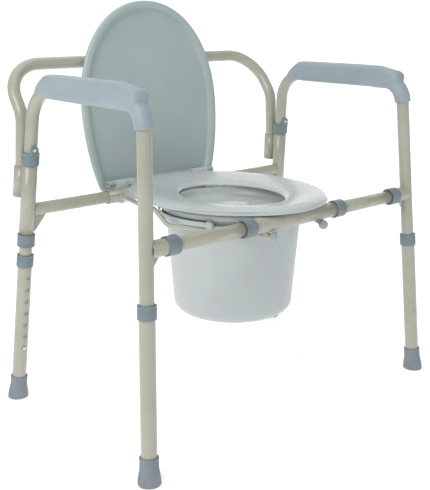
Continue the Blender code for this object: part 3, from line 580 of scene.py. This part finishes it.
# ---------------------------------------------------------------- side frames and legs
def side_frame(label, side):
    """One bent tube, holed for its three snap buttons; returns the route of its axis."""
    corners = [leg_axis(side, "front", UPRIGHT_END_Z), leg_axis(side, "front", ARM_Z),
               leg_axis(side, "rear", ARM_Z), leg_axis(side, "rear", UPRIGHT_END_Z)]
    route = fillet(corners, (ARM_BEND_FRONT, ARM_BEND_REAR))
    tube = bent_tube(f"side_frame_{label}", route, TUBE_R, PAINT)
    holes = []
    for end, z in (("front", LEG_BUTTON_Z), ("rear", LEG_BUTTON_Z), ("rear", SLEEVE_BUTTON_Z)):
        centre = leg_axis(side, end, z)
        out = hole_direction(side, end)
        holes.append(cutter_rod(centre + out * 0.006, centre + out * 0.020, HOLE_R, steps=24))
    smooth(combine(tube, holes, "DIFFERENCE"))
    return route


def lower_leg(label, side, end):
    """A height leg: a tube with a row of holes, its collar, its tip and the button in a hole."""
    up = leg_up(side, end)
    out = hole_direction(side, end)
    name = f"{end}_{label}"
    leg = pipe(f"lower_leg_{name}", leg_axis(side, end, LEG_END_Z), leg_axis(side, end, LEG_TOP_Z),
               LEG_R, BORE_R, PAINT, face=out)
    lowest = leg_axis(side, end, LEG_BUTTON_Z)
    holes = []
    for index in range(HOLE_COUNT):
        centre = lowest + up * HOLE_PITCH * index
        holes.append(cutter_rod(centre + out * 0.008, centre + out * 0.020, HOLE_R, steps=24))
    smooth(combine(leg, holes, "DIFFERENCE"))
    collar(f"leg_collar_{name}", leg_axis(side, end, LEG_TOP_Z), up, LEG_R)
    leg_tip(f"leg_tip_{name}", side, end)
    snap_button(f"leg_button_{name}", lowest, up, out, LEG_R + BUTTON_STAND)


# ---------------------------------------------------------------- rear frame
def rear_sleeve(label, side):
    """The tube that holds the rear upright, with its two collars and the back bar's socket."""
    bottom = leg_axis(side, "rear", SLEEVE_Z[0])
    top = leg_axis(side, "rear", SLEEVE_Z[1])
    up = leg_up(side, "rear")
    pipe(f"rear_sleeve_{label}", bottom, top, SLEEVE_R, BORE_R, PAINT)
    collar(f"sleeve_collar_bottom_{label}", bottom, -up, SLEEVE_R)
    tabbed_collar(label, side, top, up)
    shift = Vector((0.0, BACK_OFFSET_Y, 0.0))
    pipe(f"back_bar_socket_{label}", leg_axis(side, "rear", SOCKET_Z[0]) + shift,
         leg_axis(side, "rear", SOCKET_Z[1]) + shift, SLEEVE_R, BORE_R, PAINT)
    out = hole_direction(side, "rear")
    centre = leg_axis(side, "rear", SLEEVE_BUTTON_Z)
    snap_button(f"sleeve_button_{label}", centre, up, out, TUBE_R + BUTTON_STAND + 0.0034)


def tabbed_collar(label, side, top, up):
    """The upper collar, which reaches up in a tab that the sleeve's snap button comes through."""
    out = hole_direction(side, "rear")
    ring = apply_all(collar(f"sleeve_collar_top_{label}", top, up, SLEEVE_R))
    centre = leg_axis(side, "rear", SLEEVE_BUTTON_Z)
    across = up.cross(out)
    place = Matrix((across, up, out)).transposed().to_4x4()
    place.translation = centre + out * 0.0146
    half = 0.0075
    foot = -(centre - top).length + 0.001
    outline = [(-half, foot), (half, foot)] + arc((0.0, 0.0), half, 0.0, 180.0, 8)
    tab = plate("tab", [outline], 0.0052, COLLAR_BLUE, place, bevel=0.0007)
    ring = combine(ring, [tab], "UNION")
    clear = cutter_rod(top - up * 0.030, centre + up * 0.030, BORE_R, steps=ROUND)
    sleeve_room = cutter_rod(top - up * 0.030, top + up * GAP, SLEEVE_R + 0.0006, steps=ROUND)
    hole = cutter_rod(centre, centre + out * 0.030, HOLE_R)
    smooth(combine(ring, [clear, sleeve_room, hole], "DIFFERENCE"))


def bar_point(x, z, end):
    """A point on a crossbar, which runs straight from leg axis to leg axis at its height."""
    return Vector((x, leg_axis(1, end, z).y, z))


def coped(piece, side, end, radius):
    """Cut the end of a crossbar piece to the round of the upright it is welded to."""
    low = leg_axis(side, end, FRONT_BAR_Z - 0.060)
    high = leg_axis(side, end, FRONT_BAR_Z + 0.060)
    return smooth(combine(piece, [cutter_rod(low, high, radius + 0.0006, steps=96)], "DIFFERENCE"))


def gusset(side, end, bar_z, bar_r, upright_r, reach, drop):
    """A small triangular plate in the corner below a crossbar, welded up into its tube's wall."""
    y = leg_axis(side, end, bar_z).y
    top = bar_z - bar_r
    start = HALF_SPAN_X - upright_r
    corners = [(side * (start + 0.004), top + WALL * 0.5), (side * (start - reach), top + WALL * 0.5),
               (side * (start - reach), top - 0.001),
               (side * (start + SPLAY_X * drop + 0.004), top - drop)]
    return plate("web", [corners], 0.004, PAINT, front_plane(y))


def rear_crossbar():
    """The rear crossbar: a centre tube with an end tube welded to each sleeve."""
    pipe("rear_centre_tube", bar_point(-REAR_CENTRE_END_X, REAR_BAR_Z, "rear"),
         bar_point(REAR_CENTRE_END_X, REAR_BAR_Z, "rear"), SLEEVE_R, BORE_R, PAINT)
    for label, side in SIDES.items():
        tube = pipe(f"rear_end_tube_{label}",
                    bar_point(side * REAR_END_TUBE_INNER_X, REAR_BAR_Z, "rear"),
                    bar_point(side * (HALF_SPAN_X - 0.006), REAR_BAR_Z, "rear"),
                    TUBE_R, TUBE_R - WALL, PAINT)
        web = gusset(side, "rear", REAR_BAR_Z, TUBE_R, SLEEVE_R, 0.024, 0.036)
        coped(combine(apply_all(tube), [web], "UNION"), side, "rear", SLEEVE_R)


def front_crossbar():
    """The front crossbar: welded stubs, two lock tubes and a centre tube, with four collars."""
    centre_end = {side: bar_point(side * CENTRE_END_X, FRONT_BAR_Z, "front") for side in (-1, 1)}
    pipe("front_centre_tube", centre_end[-1], centre_end[1], SLEEVE_R, BORE_R, PAINT)
    for label, side in SIDES.items():
        outward = Vector((side, 0.0, 0.0))
        stub_end = bar_point(side * STUB_END_X, FRONT_BAR_Z, "front")
        stub = pipe(f"front_stub_{label}", stub_end,
                    bar_point(side * (HALF_SPAN_X - 0.006), FRONT_BAR_Z, "front"),
                    SLEEVE_R, BORE_R, PAINT)
        web = gusset(side, "front", FRONT_BAR_Z, SLEEVE_R, TUBE_R, 0.012, 0.024)
        coped(combine(apply_all(stub), [web], "UNION"), side, "front", TUBE_R)
        pipe(f"front_lock_tube_{label}", bar_point(side * LOCK_TUBE_X[0], FRONT_BAR_Z, "front"),
             bar_point(side * LOCK_TUBE_X[1], FRONT_BAR_Z, "front"), TUBE_R, TUBE_R - WALL, PAINT)
        collar(f"stub_collar_{label}", stub_end, -outward, SLEEVE_R)
        collar(f"centre_collar_{label}", centre_end[side], outward, SLEEVE_R)


def back_bar():
    """One bar: up out of each socket, back over the lean, and across behind the lid."""
    corners = []
    for side in (-1, 1):
        shift = Vector((0.0, BACK_OFFSET_Y, 0.0))
        foot = leg_axis(side, "rear", SOCKET_Z[0] + 0.002) + shift
        turn = leg_axis(side, "rear", BACK_TURN_Z) + shift + Vector((0.0, BACK_TURN_BACK, 0.0))
        rise = BACK_TOP_Z - BACK_TURN_Z
        top = turn + Vector((0.0, rise * math.tan(BACK_LEAN), rise))
        mouth = leg_axis(side, "rear", SOCKET_Z[1] + 0.006) + shift
        corners.append([foot, mouth, turn, top])
    route = fillet(corners[0] + corners[1][::-1],
                   (0.0, BACK_TURN_R, BACK_CORNER_R, BACK_CORNER_R, BACK_TURN_R, 0.0))
    smooth(apply_all(route_curve("back_bar", route, TUBE_R, PAINT)))


# ---------------------------------------------------------------- armrests
ARM_PAD_TOP = 0.0225               # above the arm tube's axis
ARM_PAD_LOW = -0.0055
ARM_PAD_WIDTH = 0.036
ARM_SLEEVE_R = 0.0168
ARM_NOSE_END_Z = 0.599
ARM_PAD_REAR = 0.134               # from MID_Y, on the rear bend
ARM_SCREW_Y = {"rear": 0.102, "front": -0.076}


def armrest(label, side, frame_route):
    """A moulded pad on the arm tube that turns into a sleeve over the front bend."""
    front_y = leg_axis(side, "front", ARM_Z).y
    rear_y = MID_Y + ARM_PAD_REAR
    top = ARM_Z + ARM_PAD_TOP
    low = ARM_Z + ARM_PAD_LOW
    outline = [(rear_y + 0.004, low), (rear_y + 0.001, low + 0.009), (rear_y - 0.024, top - 0.0015),
               (rear_y - 0.030, top), (front_y + 0.066, top), (front_y + 0.054, top - 0.0020),
               (front_y + 0.026, ARM_Z + 0.0145), (front_y + 0.012, ARM_Z + 0.0130),
               (front_y + 0.010, ARM_Z + 0.0040),
               (front_y + 0.024, ARM_Z - 0.0070), (front_y + 0.040, low - 0.001),
               (front_y + 0.066, low)]
    x = leg_axis(side, "front", ARM_Z).x
    pad = plate(f"armrest_{label}", [rounded_outline(outline)], ARM_PAD_WIDTH, BLUE_GREY,
                side_plane(x), bevel=0.009)
    start = Vector((x, front_y + 0.075, ARM_Z))
    stop = leg_axis(side, "front", ARM_NOSE_END_Z)
    bend = [point for point in frame_route
            if point.y < start.y - 0.002 and point.z > stop.z + 0.002]
    nose = apply_all(route_curve("nose", [stop] + bend + [start], ARM_SLEEVE_R, BLUE_GREY))
    pad = blended(combine(pad, [nose], "UNION"))
    channel = apply_all(route_curve("channel", frame_route, TUBE_R + 0.0004, None,
                                    collection=CUTTERS))
    return smooth(combine(pad, [as_cutter(channel)], "DIFFERENCE"), 38.0)


def rounded_outline(points, rounds=3):
    """Cut the corners of a closed outline, over and over, into soft curves."""
    for _ in range(rounds):
        pairs = zip(points, points[1:] + points[:1])
        points = [tuple(a + (b - a) * share for a, b in zip(start, end))
                  for start, end in pairs for share in (0.25, 0.75)]
    return points


def blended(obj):
    """Run joined shapes into each other the way a moulding does."""
    remesh = obj.modifiers.new("Remesh", "REMESH")
    remesh.mode = "VOXEL"
    remesh.voxel_size = 0.0012
    soften = obj.modifiers.new("Soften", "SMOOTH")
    soften.factor = 0.5
    soften.iterations = 14
    return apply_all(obj)


def armrest_screws(label, side):
    """Pan-head screws up through the arm tube into the pad."""
    for place, y in ARM_SCREW_Y.items():
        seat = Vector((leg_axis(side, "front", ARM_Z).x, MID_Y + y, ARM_Z - TUBE_R - GAP))
        profile = [(0.0, 0.0), (0.0042, 0.0), (0.0038, -0.0016), (0.0020, -0.0024),
                   (0.0, -0.0024)]
        turned(f"armrest_screw_{place}_{label}", profile, STEEL, seat, (0, 0, 1), steps=32)


# ---------------------------------------------------------------- hinge, seat and lid
BRACKET_X = (0.1000, 0.1300)
SEAT_KNUCKLE_X = (0.0840, 0.0995)
LID_KNUCKLE_X = (0.1305, 0.1480)
HINGE = Vector((0.0, MID_Y + HINGE_Y, HINGE_Z))


def hinge_bracket(label, side):
    """A plastic clip round the rear centre tube, with a post that holds the hinge pin."""
    bar = (bar_point(0.0, REAR_BAR_Z, "rear").y, REAR_BAR_Z)
    pin = (HINGE.y, HINGE.z)
    inner = arc(bar, SLEEVE_R + 2.0 * GAP, 130.0, 410.0, 18)
    knuckle = arc(pin, KNUCKLE_R, 165.0, -60.0, 8)
    outer = arc(bar, SLEEVE_R + 0.0035, 350.0, 130.0, 12)
    hole = arc(pin, PIN_R + GAP, 0.0, 330.0, 11)
    width = BRACKET_X[1] - BRACKET_X[0]
    middle = side * (BRACKET_X[0] + BRACKET_X[1]) / 2.0
    smooth(plate(f"hinge_bracket_{label}", [inner + knuckle + outer, hole], width, SEAT_GREY,
                 side_plane(middle)))


def hinge_pin(label, side):
    """A pin through the seat's knuckle, the bracket and the lid's knuckle."""
    ends = [Vector((side * x, HINGE.y, HINGE.z))
            for x in (SEAT_KNUCKLE_X[0] + 0.003, LID_KNUCKLE_X[1] - 0.003)]
    rod(f"hinge_pin_{label}", ends[0], ends[1], PIN_R, STEEL, steps=32)


def knuckle_pair(span, arm_start, arm_end, arm_half):
    """Two knuckles on the hinge axis, each with the arm that joins it to the seat or the lid."""
    pieces = []
    for side in SIDES.values():
        low, high = (side * span[0], side * span[1])
        barrel = rod("knuckle", (low, HINGE.y, HINGE.z), (high, HINGE.y, HINGE.z), KNUCKLE_R)
        barrel = apply_all(barrel)
        run = Vector(arm_end) - Vector(arm_start)
        across = Vector((-run.y, run.x)).normalized() * arm_half
        outline = [Vector(arm_start) + across, Vector(arm_start) - across,
                   Vector(arm_end) - across, Vector(arm_end) + across]
        arm = plate("arm", [[tuple(p) for p in outline]], abs(high - low) - 0.001, None,
                    side_plane((low + high) / 2.0))
        pieces.append(combine(barrel, [arm], "UNION"))
    return pieces


def pin_cutters(span):
    cutters = []
    for side in SIDES.values():
        ends = [Vector((side * x, HINGE.y, HINGE.z)) for x in (span[0] - 0.002, span[1] + 0.002)]
        cutters.append(cutter_rod(ends[0], ends[1], PIN_R + 0.0004, steps=32))
    return cutters


def oval(angle, half_x, front_y, rear_y, middle_y, rear_power):
    """A point on the seat's kind of oval: an ellipse in front, squarer behind."""
    x, y = math.cos(angle), math.sin(angle)
    if y < 0.0:
        return half_x * x, middle_y + (middle_y - front_y) * y
    power = 2.0 / rear_power
    x = math.copysign(abs(x) ** power, x)
    y = abs(y) ** power
    return half_x * x, middle_y + (rear_y - middle_y) * y


def seat_outline(angle):
    """The seat's outer edge."""
    x, y = oval(angle, SEAT_HALF_X, SEAT_FRONT_Y, SEAT_REAR_Y, 0.0, 2.0)
    return x, y


# fractions from the hole's edge (0) to the outer edge (1), and how high the skin is there
SEAT_SECTION = [(0.00, SEAT_LIP_Z), (0.02, 0.4195), (0.10, 0.4235), (0.30, 0.4275),
                (0.60, 0.4314), (0.80, SEAT_CREST_Z), (0.97, 0.4285), (1.00, 0.4235),
                (0.97, SEAT_BOTTOM_Z), (0.10, SEAT_BOTTOM_Z), (0.06, SEAT_LIP_Z)]


def smooth_loop(points, per_span):
    """More points on a smooth closed curve through the ones given."""
    result = []
    count = len(points)
    for i in range(count):
        a, b, c, d = (points[(i + k) % count] for k in (-1, 0, 1, 2))
        for step in range(per_span):
            t = step / per_span
            result.append(tuple(
                0.5 * (2 * q + (r - p) * t + (2 * p - 5 * q + 4 * r - u) * t * t
                       + (3 * q - p - 3 * r + u) * t * t * t)
                for p, q, r, u in zip(a, b, c, d)))
    return result


def seat_ring():
    """The seat: a ring between two ovals, its top sloping in to a lip inside the pail."""
    around = 200
    angles = [2.0 * math.pi * i / around for i in range(around)]
    loops = []
    for share, z in smooth_loop(SEAT_SECTION, 5):
        loop = []
        for angle in angles:
            outer = seat_outline(angle)
            inner = oval(angle, HOLE_HALF_X, HOLE_FRONT_Y, HOLE_REAR_Y, -0.015, 2.0)
            loop.append((inner[0] + (outer[0] - inner[0]) * share,
                         MID_Y + inner[1] + (outer[1] - inner[1]) * share, z))
        loops.append(loop)
    seat = loft("seat_ring", loops, SEAT_GREY, closed_section=True)
    arms = knuckle_pair(SEAT_KNUCKLE_X, (HINGE.y, HINGE.z), (HINGE.y - 0.030, HINGE.z + 0.0005),
                        0.0040)
    seat = combine(seat, arms + seat_feet(), "UNION")
    smooth(combine(seat, pin_cutters(SEAT_KNUCKLE_X), "DIFFERENCE"))


def seat_feet():
    """The feet under the seat that come down on the two crossbars."""
    feet = []
    for end, bar_z, spread in (("front", FRONT_BAR_Z, 0.060), ("rear", REAR_BAR_Z, 0.070)):
        for side in SIDES.values():
            base = bar_point(side * spread, bar_z + SLEEVE_R + GAP, end)
            top = SEAT_BOTTOM_Z + 0.001 - base.z
            profile = [(0.0, top), (0.007, top), (0.006, 0.0), (0.0, 0.0)]
            feet.append(apply_all(turned("foot", profile, RUBBER, base, steps=32)))
    return feet


def lid_frame():
    """Local X across, local Y up the lid from the hinge, local Z out of its underside (forward)."""
    up = Vector((0.0, math.sin(LID_LEAN), math.cos(LID_LEAN)))
    out = Vector((0.0, -math.cos(LID_LEAN), math.sin(LID_LEAN)))
    frame = Matrix((Vector((1.0, 0.0, 0.0)), up, out)).transposed().to_4x4()
    frame.translation = HINGE - out * LID_PLANE_OFFSET
    return frame


def lid_outline(inset, count=180):
    """The lid's oval, widest at LID_WIDEST and cut straight across below the hinge."""
    half = LID_HALF_X - inset
    above = LID_LENGTH - LID_WIDEST - inset
    below = 0.323 - inset
    tail = -LID_TAIL + inset - LID_WIDEST
    start = math.asin(tail / below)
    corner = 0.010
    points = []
    for i in range(count):
        angle = start + (math.pi - 2.0 * start) * i / (count - 1)
        squash = 2.0 / 2.1 if math.sin(angle) > 0.0 else 1.0
        rise = above if math.sin(angle) > 0.0 else below
        x = half * math.copysign(abs(math.cos(angle)) ** squash, math.cos(angle))
        y = LID_WIDEST + rise * math.copysign(abs(math.sin(angle)) ** squash, math.sin(angle))
        points.append((x, y))
    first, last = points[0], points[-1]
    points[0] = (first[0] - corner * 0.3, first[1])
    points[-1] = (last[0] + corner * 0.3, last[1])
    return points


def lid():
    """A shallow dish, open towards the seat, with two knuckles on the hinge pins."""
    t = LID_HALF_T
    deep = LID_PLATE - t
    sections = [(0.0232, deep), (0.0226, deep), (0.0216, deep + 0.0006), (0.0200, deep + 0.0022),
                (0.0180, deep + 0.0048), (0.0165, deep + 0.0066), (0.0150, t - 0.0012),
                (0.0120, t - 0.0003), (0.0080, t), (0.0050, t - 0.0003), (0.0028, t - 0.0013),
                (0.0012, t - 0.0028), (0.0004, 0.0010), (0.0004, -0.0020), (0.0014, 0.0018 - t),
                (0.0032, 0.0007 - t), (0.0060, -t), (0.0200, -t)]
    loops = [[(x, y, z) for x, y in lid_outline(inset)] for inset, z in sections]
    body = loft("lid", loops, LID_GREEN, closed_section=False)
    body.matrix_world = lid_frame()
    face = HINGE - lid_frame().col[2].to_3d() * (LID_PLANE_OFFSET + LID_HALF_T - 0.0025)
    arms = knuckle_pair(LID_KNUCKLE_X, (HINGE.y, HINGE.z), (face.y, face.z), 0.0055)
    body = combine(body, arms, "UNION")
    smooth(combine(body, pin_cutters(LID_KNUCKLE_X), "DIFFERENCE"))


# ---------------------------------------------------------------- pail
PAIL_ORIGIN = Vector((0.0, MID_Y + PAIL_Y, 0.0))
BEAD_R = 0.1475
BEAD_Z = (RAIL_Z + RAIL_R + GAP, RAIL_Z + RAIL_R + GAP + 0.003)
PIVOT_R = 0.0065
KNOB_RIBS = 24


def pail_radius(z):
    slope = (PAIL_R_HIGH - PAIL_R_LOW) / (PAIL_Z_HIGH - PAIL_Z_LOW)
    return PAIL_R_LOW + slope * (z - PAIL_Z_LOW)


def pail():
    """A tapered bucket with a rolled rim and, below it, the bead that sits on the rails."""
    low, high = PAIL_RIM_Z
    corner = 0.024
    foot = pail_radius(PAIL_BOTTOM_Z + corner) - corner
    bend = arc((foot, PAIL_BOTTOM_Z + corner), corner, 0.0, -90.0, 14)
    inside = arc((foot, PAIL_BOTTOM_Z + corner), corner - PAIL_WALL, -90.0, 0.0, 14)
    profile = [(pail_radius(high) - 0.001, high)]
    profile += arc((PAIL_RIM_R - 0.003, high - 0.003), 0.003, 90.0, 0.0, 6)
    profile += [(PAIL_RIM_R, low + 0.0006), (PAIL_RIM_R - 0.0006, low), (PAIL_RIM_R - 0.002, low),
                (PAIL_RIM_R - 0.002, high - 0.004), (pail_radius(low) + 0.0015, high - 0.004),
                (pail_radius(low), low + 0.002), (pail_radius(BEAD_Z[1]), BEAD_Z[1]),
               (BEAD_R, BEAD_Z[1]), (BEAD_R, BEAD_Z[0]), (pail_radius(BEAD_Z[0]), BEAD_Z[0])]
    profile += bend + [(0.0, PAIL_BOTTOM_Z), (0.0, PAIL_BOTTOM_Z + PAIL_WALL)] + inside
    profile += [(pail_radius(BEAD_Z[0]) - PAIL_WALL, BEAD_Z[0]),
                (pail_radius(high) - PAIL_WALL - 0.001, high - 0.002)]
    body = turned("pail", profile, PAIL_WHITE, PAIL_ORIGIN, ring=True, steps=144)
    smooth(combine(apply_all(body), handle_studs(), "UNION"))


def pail_lid():
    """The pail's own lid: a flange on the rim, a dished floor and a knob."""
    top = PAIL_RIM_Z[1] + GAP
    bore = pail_radius(PAIL_RIM_Z[1]) - 0.0045
    edge = PAIL_RIM_R - 0.0028
    profile = [(0.0, 0.4035), (0.031, 0.4035), (0.034, 0.4020), (0.036, 0.3985), (0.036, 0.3945),
               (0.060, 0.3930), (0.108, 0.3930), (0.116, 0.3965), (0.120, top + 0.0025),
               (edge - 0.002, top + 0.0028), (edge, top + 0.0015), (edge, top),
               (bore, top), (bore - 0.003, 0.4010), (0.1175, 0.4010), (0.1135, 0.3935),
               (0.108, 0.3910), (0.0, 0.3910)]
    body = apply_all(turned("pail_lid", profile, SEAT_GREY, PAIL_ORIGIN, steps=144))
    ribs = []
    for index in range(KNOB_RIBS):
        angle = 2.0 * math.pi * index / KNOB_RIBS
        ring = Vector((math.cos(angle), math.sin(angle), 0.0)) * 0.0357
        base = PAIL_ORIGIN + ring + Vector((0.0, 0.0, 0.3925))
        ribs.append(rod("rib", base, base + Vector((0.0, 0.0, 0.0068)), 0.0017, steps=16))
    smooth(combine(body, ribs, "UNION"))


def pivot_direction():
    return Vector((math.cos(HANDLE_ANGLE), math.sin(HANDLE_ANGLE), 0.0))


def pail_handle():
    """A flat strap that lies round half the rim and turns on two pivots."""
    along = pivot_direction()
    behind = Vector((0.0, 0.0, 1.0)).cross(along)
    if behind.y < 0.0:
        behind.negate()
    inner, outer = HANDLE_R
    low, high = HANDLE_Z
    steps = 90
    start = math.asin((PIVOT_R - 0.001) / outer)
    loops = []
    for i in range(steps + 1):
        angle = start + (math.pi - 2.0 * start) * i / steps
        ray = along * math.cos(angle) + behind * math.sin(angle)
        loops.append([PAIL_ORIGIN + ray * r + Vector((0.0, 0.0, z))
                      for r, z in ((inner, low), (outer, low), (outer, high), (inner, high))])
    strap = loft("pail_handle", loops, PAIL_WHITE, closed_section=False)
    middle = (low + high) / 2.0
    eyes = []
    for sign in (-1.0, 1.0):
        centre = PAIL_ORIGIN + along * sign * inner + Vector((0.0, 0.0, middle))
        eyes.append(rod("eye", centre, centre + along * sign * (outer - inner), PIVOT_R + 0.0020))
    strap = combine(strap, eyes, "UNION")
    centre = PAIL_ORIGIN + Vector((0.0, 0.0, middle))
    holes = [cutter_rod(centre + along * sign * 0.120, centre + along * sign * 0.170,
                        PIVOT_R - 0.0021) for sign in (-1.0, 1.0)]
    smooth(combine(strap, holes, "DIFFERENCE"))


def handle_studs():
    """The two studs on the pail's wall that the handle turns on."""
    along = pivot_direction()
    middle = sum(HANDLE_Z) / 2.0
    root = pail_radius(middle) - PAIL_WALL * 0.5
    studs = []
    for sign in (-1.0, 1.0):
        profile = [(0.0, 0.1572), (PIVOT_R, 0.1572), (PIVOT_R, HANDLE_R[1] + GAP),
                   (PIVOT_R - 0.0025, HANDLE_R[1] + GAP), (PIVOT_R - 0.0025, HANDLE_R[0] - 0.0008),
                   (PIVOT_R - 0.0005, HANDLE_R[0] - 0.0008), (PIVOT_R - 0.0005, root),
                   (0.0, root)]
        base = PAIL_ORIGIN + Vector((0.0, 0.0, middle))
        studs.append(apply_all(turned("stud", profile, DARK, base, along * sign, steps=32)))
    return studs


# ---------------------------------------------------------------- pail rails
RAIL_END = Vector((0.066, MID_Y - 0.2130, RAIL_Z))
CAP_R = 0.0090
CAP_LENGTH = 0.0090


def rail_route(side):
    """From the rear crossbar out past the pail, down, and in again under the front crossbar."""
    rear_y = bar_point(0.0, REAR_BAR_Z, "rear").y - SLEEVE_R - GAP - 0.001
    corners = [(0.140, rear_y, 0.4040), (0.172, MID_Y + 0.060, 0.4085),
               (0.174, MID_Y + 0.016, 0.4085), (0.1665, MID_Y - 0.016, RAIL_Z), RAIL_END]
    corners = [Vector((side * x, y, z)) for x, y, z in corners]
    return fillet(corners, (0.030, 0.012, 0.020), 4)


def pail_rail(label, side):
    """A bent rod, capped in front, with the block that welds it under the front centre tube."""
    route = rail_route(side)
    end = route[-1]
    ahead = (end - route[-2]).normalized()
    route[-1] = end - ahead * (CAP_LENGTH * 0.4)
    rail = apply_all(route_curve(f"pail_rail_{label}", route, RAIL_R, PAINT, resolution=12))
    smooth(combine(rail, [rail_block(route[-2], route[-1])], "UNION"))
    rail_cap(f"rail_cap_{label}", end - ahead * CAP_LENGTH, ahead)


def rail_cap(name, base, ahead):
    """A round push-on cap over a rail's end."""
    bore = (RAIL_R + GAP) / math.cos(math.pi / 10)
    profile = [(0.0, CAP_LENGTH), (CAP_R - 0.002, CAP_LENGTH), (CAP_R, CAP_LENGTH - 0.002),
               (CAP_R, 0.003), (CAP_R - 0.002, 0.0), (bore, 0.0),
               (bore, CAP_LENGTH * 0.6 + GAP), (0.0, CAP_LENGTH * 0.6 + GAP)]
    return turned(name, profile, BLUE_GREY, base, ahead, ring=False)


def rail_block(before, after):
    """The saddle that joins a rail to the front centre tube above it."""
    bar = bar_point(0.0, FRONT_BAR_Z, "front")
    share = (bar.y - before.y) / (after.y - before.y)
    centre = before.lerp(after, share)
    height = 0.0125
    profile = [(0.0, height), (0.0065, height), (0.0065, 0.0), (0.0, 0.0)]
    block = apply_all(turned("block", profile, PAINT, centre, (0, 0, 1), steps=32))
    tube = cutter_rod(bar - Vector((0.120, 0, 0)), bar + Vector((0.120, 0, 0)), SLEEVE_R + 0.0005,
                      steps=48)
    return combine(block, [tube], "DIFFERENCE")


# ---------------------------------------------------------------- the chair
def build():
    for label, side in SIDES.items():
        route = side_frame(label, side)
        armrest(label, side, route)
        armrest_screws(label, side)
        rear_sleeve(label, side)
        for end in ("front", "rear"):
            lower_leg(label, side, end)
        hinge_bracket(label, side)
        hinge_pin(label, side)
        pail_rail(label, side)
    rear_crossbar()
    front_crossbar()
    back_bar()
    seat_ring()
    lid()
    pail()
    pail_lid()
    pail_handle()


def hand_over():
    """Each fine piece takes its CAD node's place, and moves with that node's body."""
    bodies = frame["record"]["behaviour"]["bodies"]
    body_of = {node: body for body, nodes in bodies.items() for node in nodes}
    for obj in list(PARTS.objects):
        node = obj.name[len(PREFIX):]
        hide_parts(node)
        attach(obj, body_of[node])


# ---------------------------------------------------------------- stage
CAMERA_PLACE = (-1.1679, -1.2874 + MID_Y, 0.7857)
CAMERA_TURN = (math.radians(77.93), math.radians(-0.05), math.radians(-41.15))
CAMERA_LENS = 62.93
CAMERA_SHIFT = (0.0095, -0.1012)


def camera():
    data = bpy.data.cameras.new("camera")
    data.sensor_fit = "VERTICAL"
    data.sensor_height = 36.0
    data.lens = CAMERA_LENS
    data.shift_x, data.shift_y = CAMERA_SHIFT
    data.clip_end = 20.0
    obj = bpy.data.objects.new("camera", data)
    obj.location = CAMERA_PLACE
    obj.rotation_euler = CAMERA_TURN
    bpy.context.scene.collection.objects.link(obj)
    bpy.context.scene.camera = obj


def floor():
    """A pale sweep: a flat floor that turns up into a far wall."""
    half = 4.0
    back = 3.2
    points = [(-half, 0.0)] + [(back + y, 0.6 + z) for y, z in arc((0.0, 0.0), 0.6, -90.0, 0.0, 16)]
    points.append((back + 0.6, 4.0))
    work = bmesh.new()
    rows = [[work.verts.new((x, y, z - 0.0003)) for y, z in points] for x in (-half, half)]
    for i in range(len(points) - 1):
        work.faces.new((rows[0][i], rows[1][i], rows[1][i + 1], rows[0][i + 1]))
    mesh = bpy.data.meshes.new("floor")
    work.to_mesh(mesh)
    work.free()
    mesh.shade_smooth()
    mat = bpy.data.materials.new("floor_white")
    mat.use_nodes = True
    mat.node_tree.nodes["Principled BSDF"].inputs["Base Color"].default_value = (0.92, 0.92, 0.92, 1)
    mat.node_tree.nodes["Principled BSDF"].inputs["Roughness"].default_value = 0.9
    mat.node_tree.nodes["Principled BSDF"].inputs["Emission Color"].default_value = (1, 1, 1, 1)
    mat.node_tree.nodes["Principled BSDF"].inputs["Emission Strength"].default_value = 0.42
    mesh.materials.append(mat)
    obj = bpy.data.objects.new("floor", mesh)
    obj.rotation_euler = (0.0, 0.0, CAMERA_TURN[2])
    bpy.context.scene.collection.objects.link(obj)


def area_light(name, place, target, size, power, colour):
    data = bpy.data.lights.new(name, "AREA")
    data.shape = "RECTANGLE"
    data.size, data.size_y = size
    data.energy = power
    data.color = colour
    obj = bpy.data.objects.new(name, data)
    obj.location = place
    obj.rotation_euler = (Vector(target) - Vector(place)).to_track_quat("-Z", "Y").to_euler()
    bpy.context.scene.collection.objects.link(obj)


def studio():
    world = bpy.data.worlds.new("studio")
    world.use_nodes = True
    world.node_tree.nodes["Background"].inputs["Color"].default_value = (0.97, 0.98, 1.0, 1.0)
    world.node_tree.nodes["Background"].inputs["Strength"].default_value = 0.42
    bpy.context.scene.world = world
    bpy.context.scene.view_settings.view_transform = "Standard"
    middle = (0.0, 0.0, 0.4)
    area_light("key", (-2.4, -0.6, 2.4), middle, (1.6, 1.6), 50.0, (1.0, 0.99, 0.97))
    area_light("fill", (1.2, -2.6, 1.3), middle, (2.0, 1.6), 8.0, (0.96, 0.98, 1.0))
    area_light("top", (0.2, 0.6, 2.8), middle, (2.2, 2.2), 17.0, (1.0, 1.0, 1.0))


build()
hand_over()
camera()
floor()
studio()
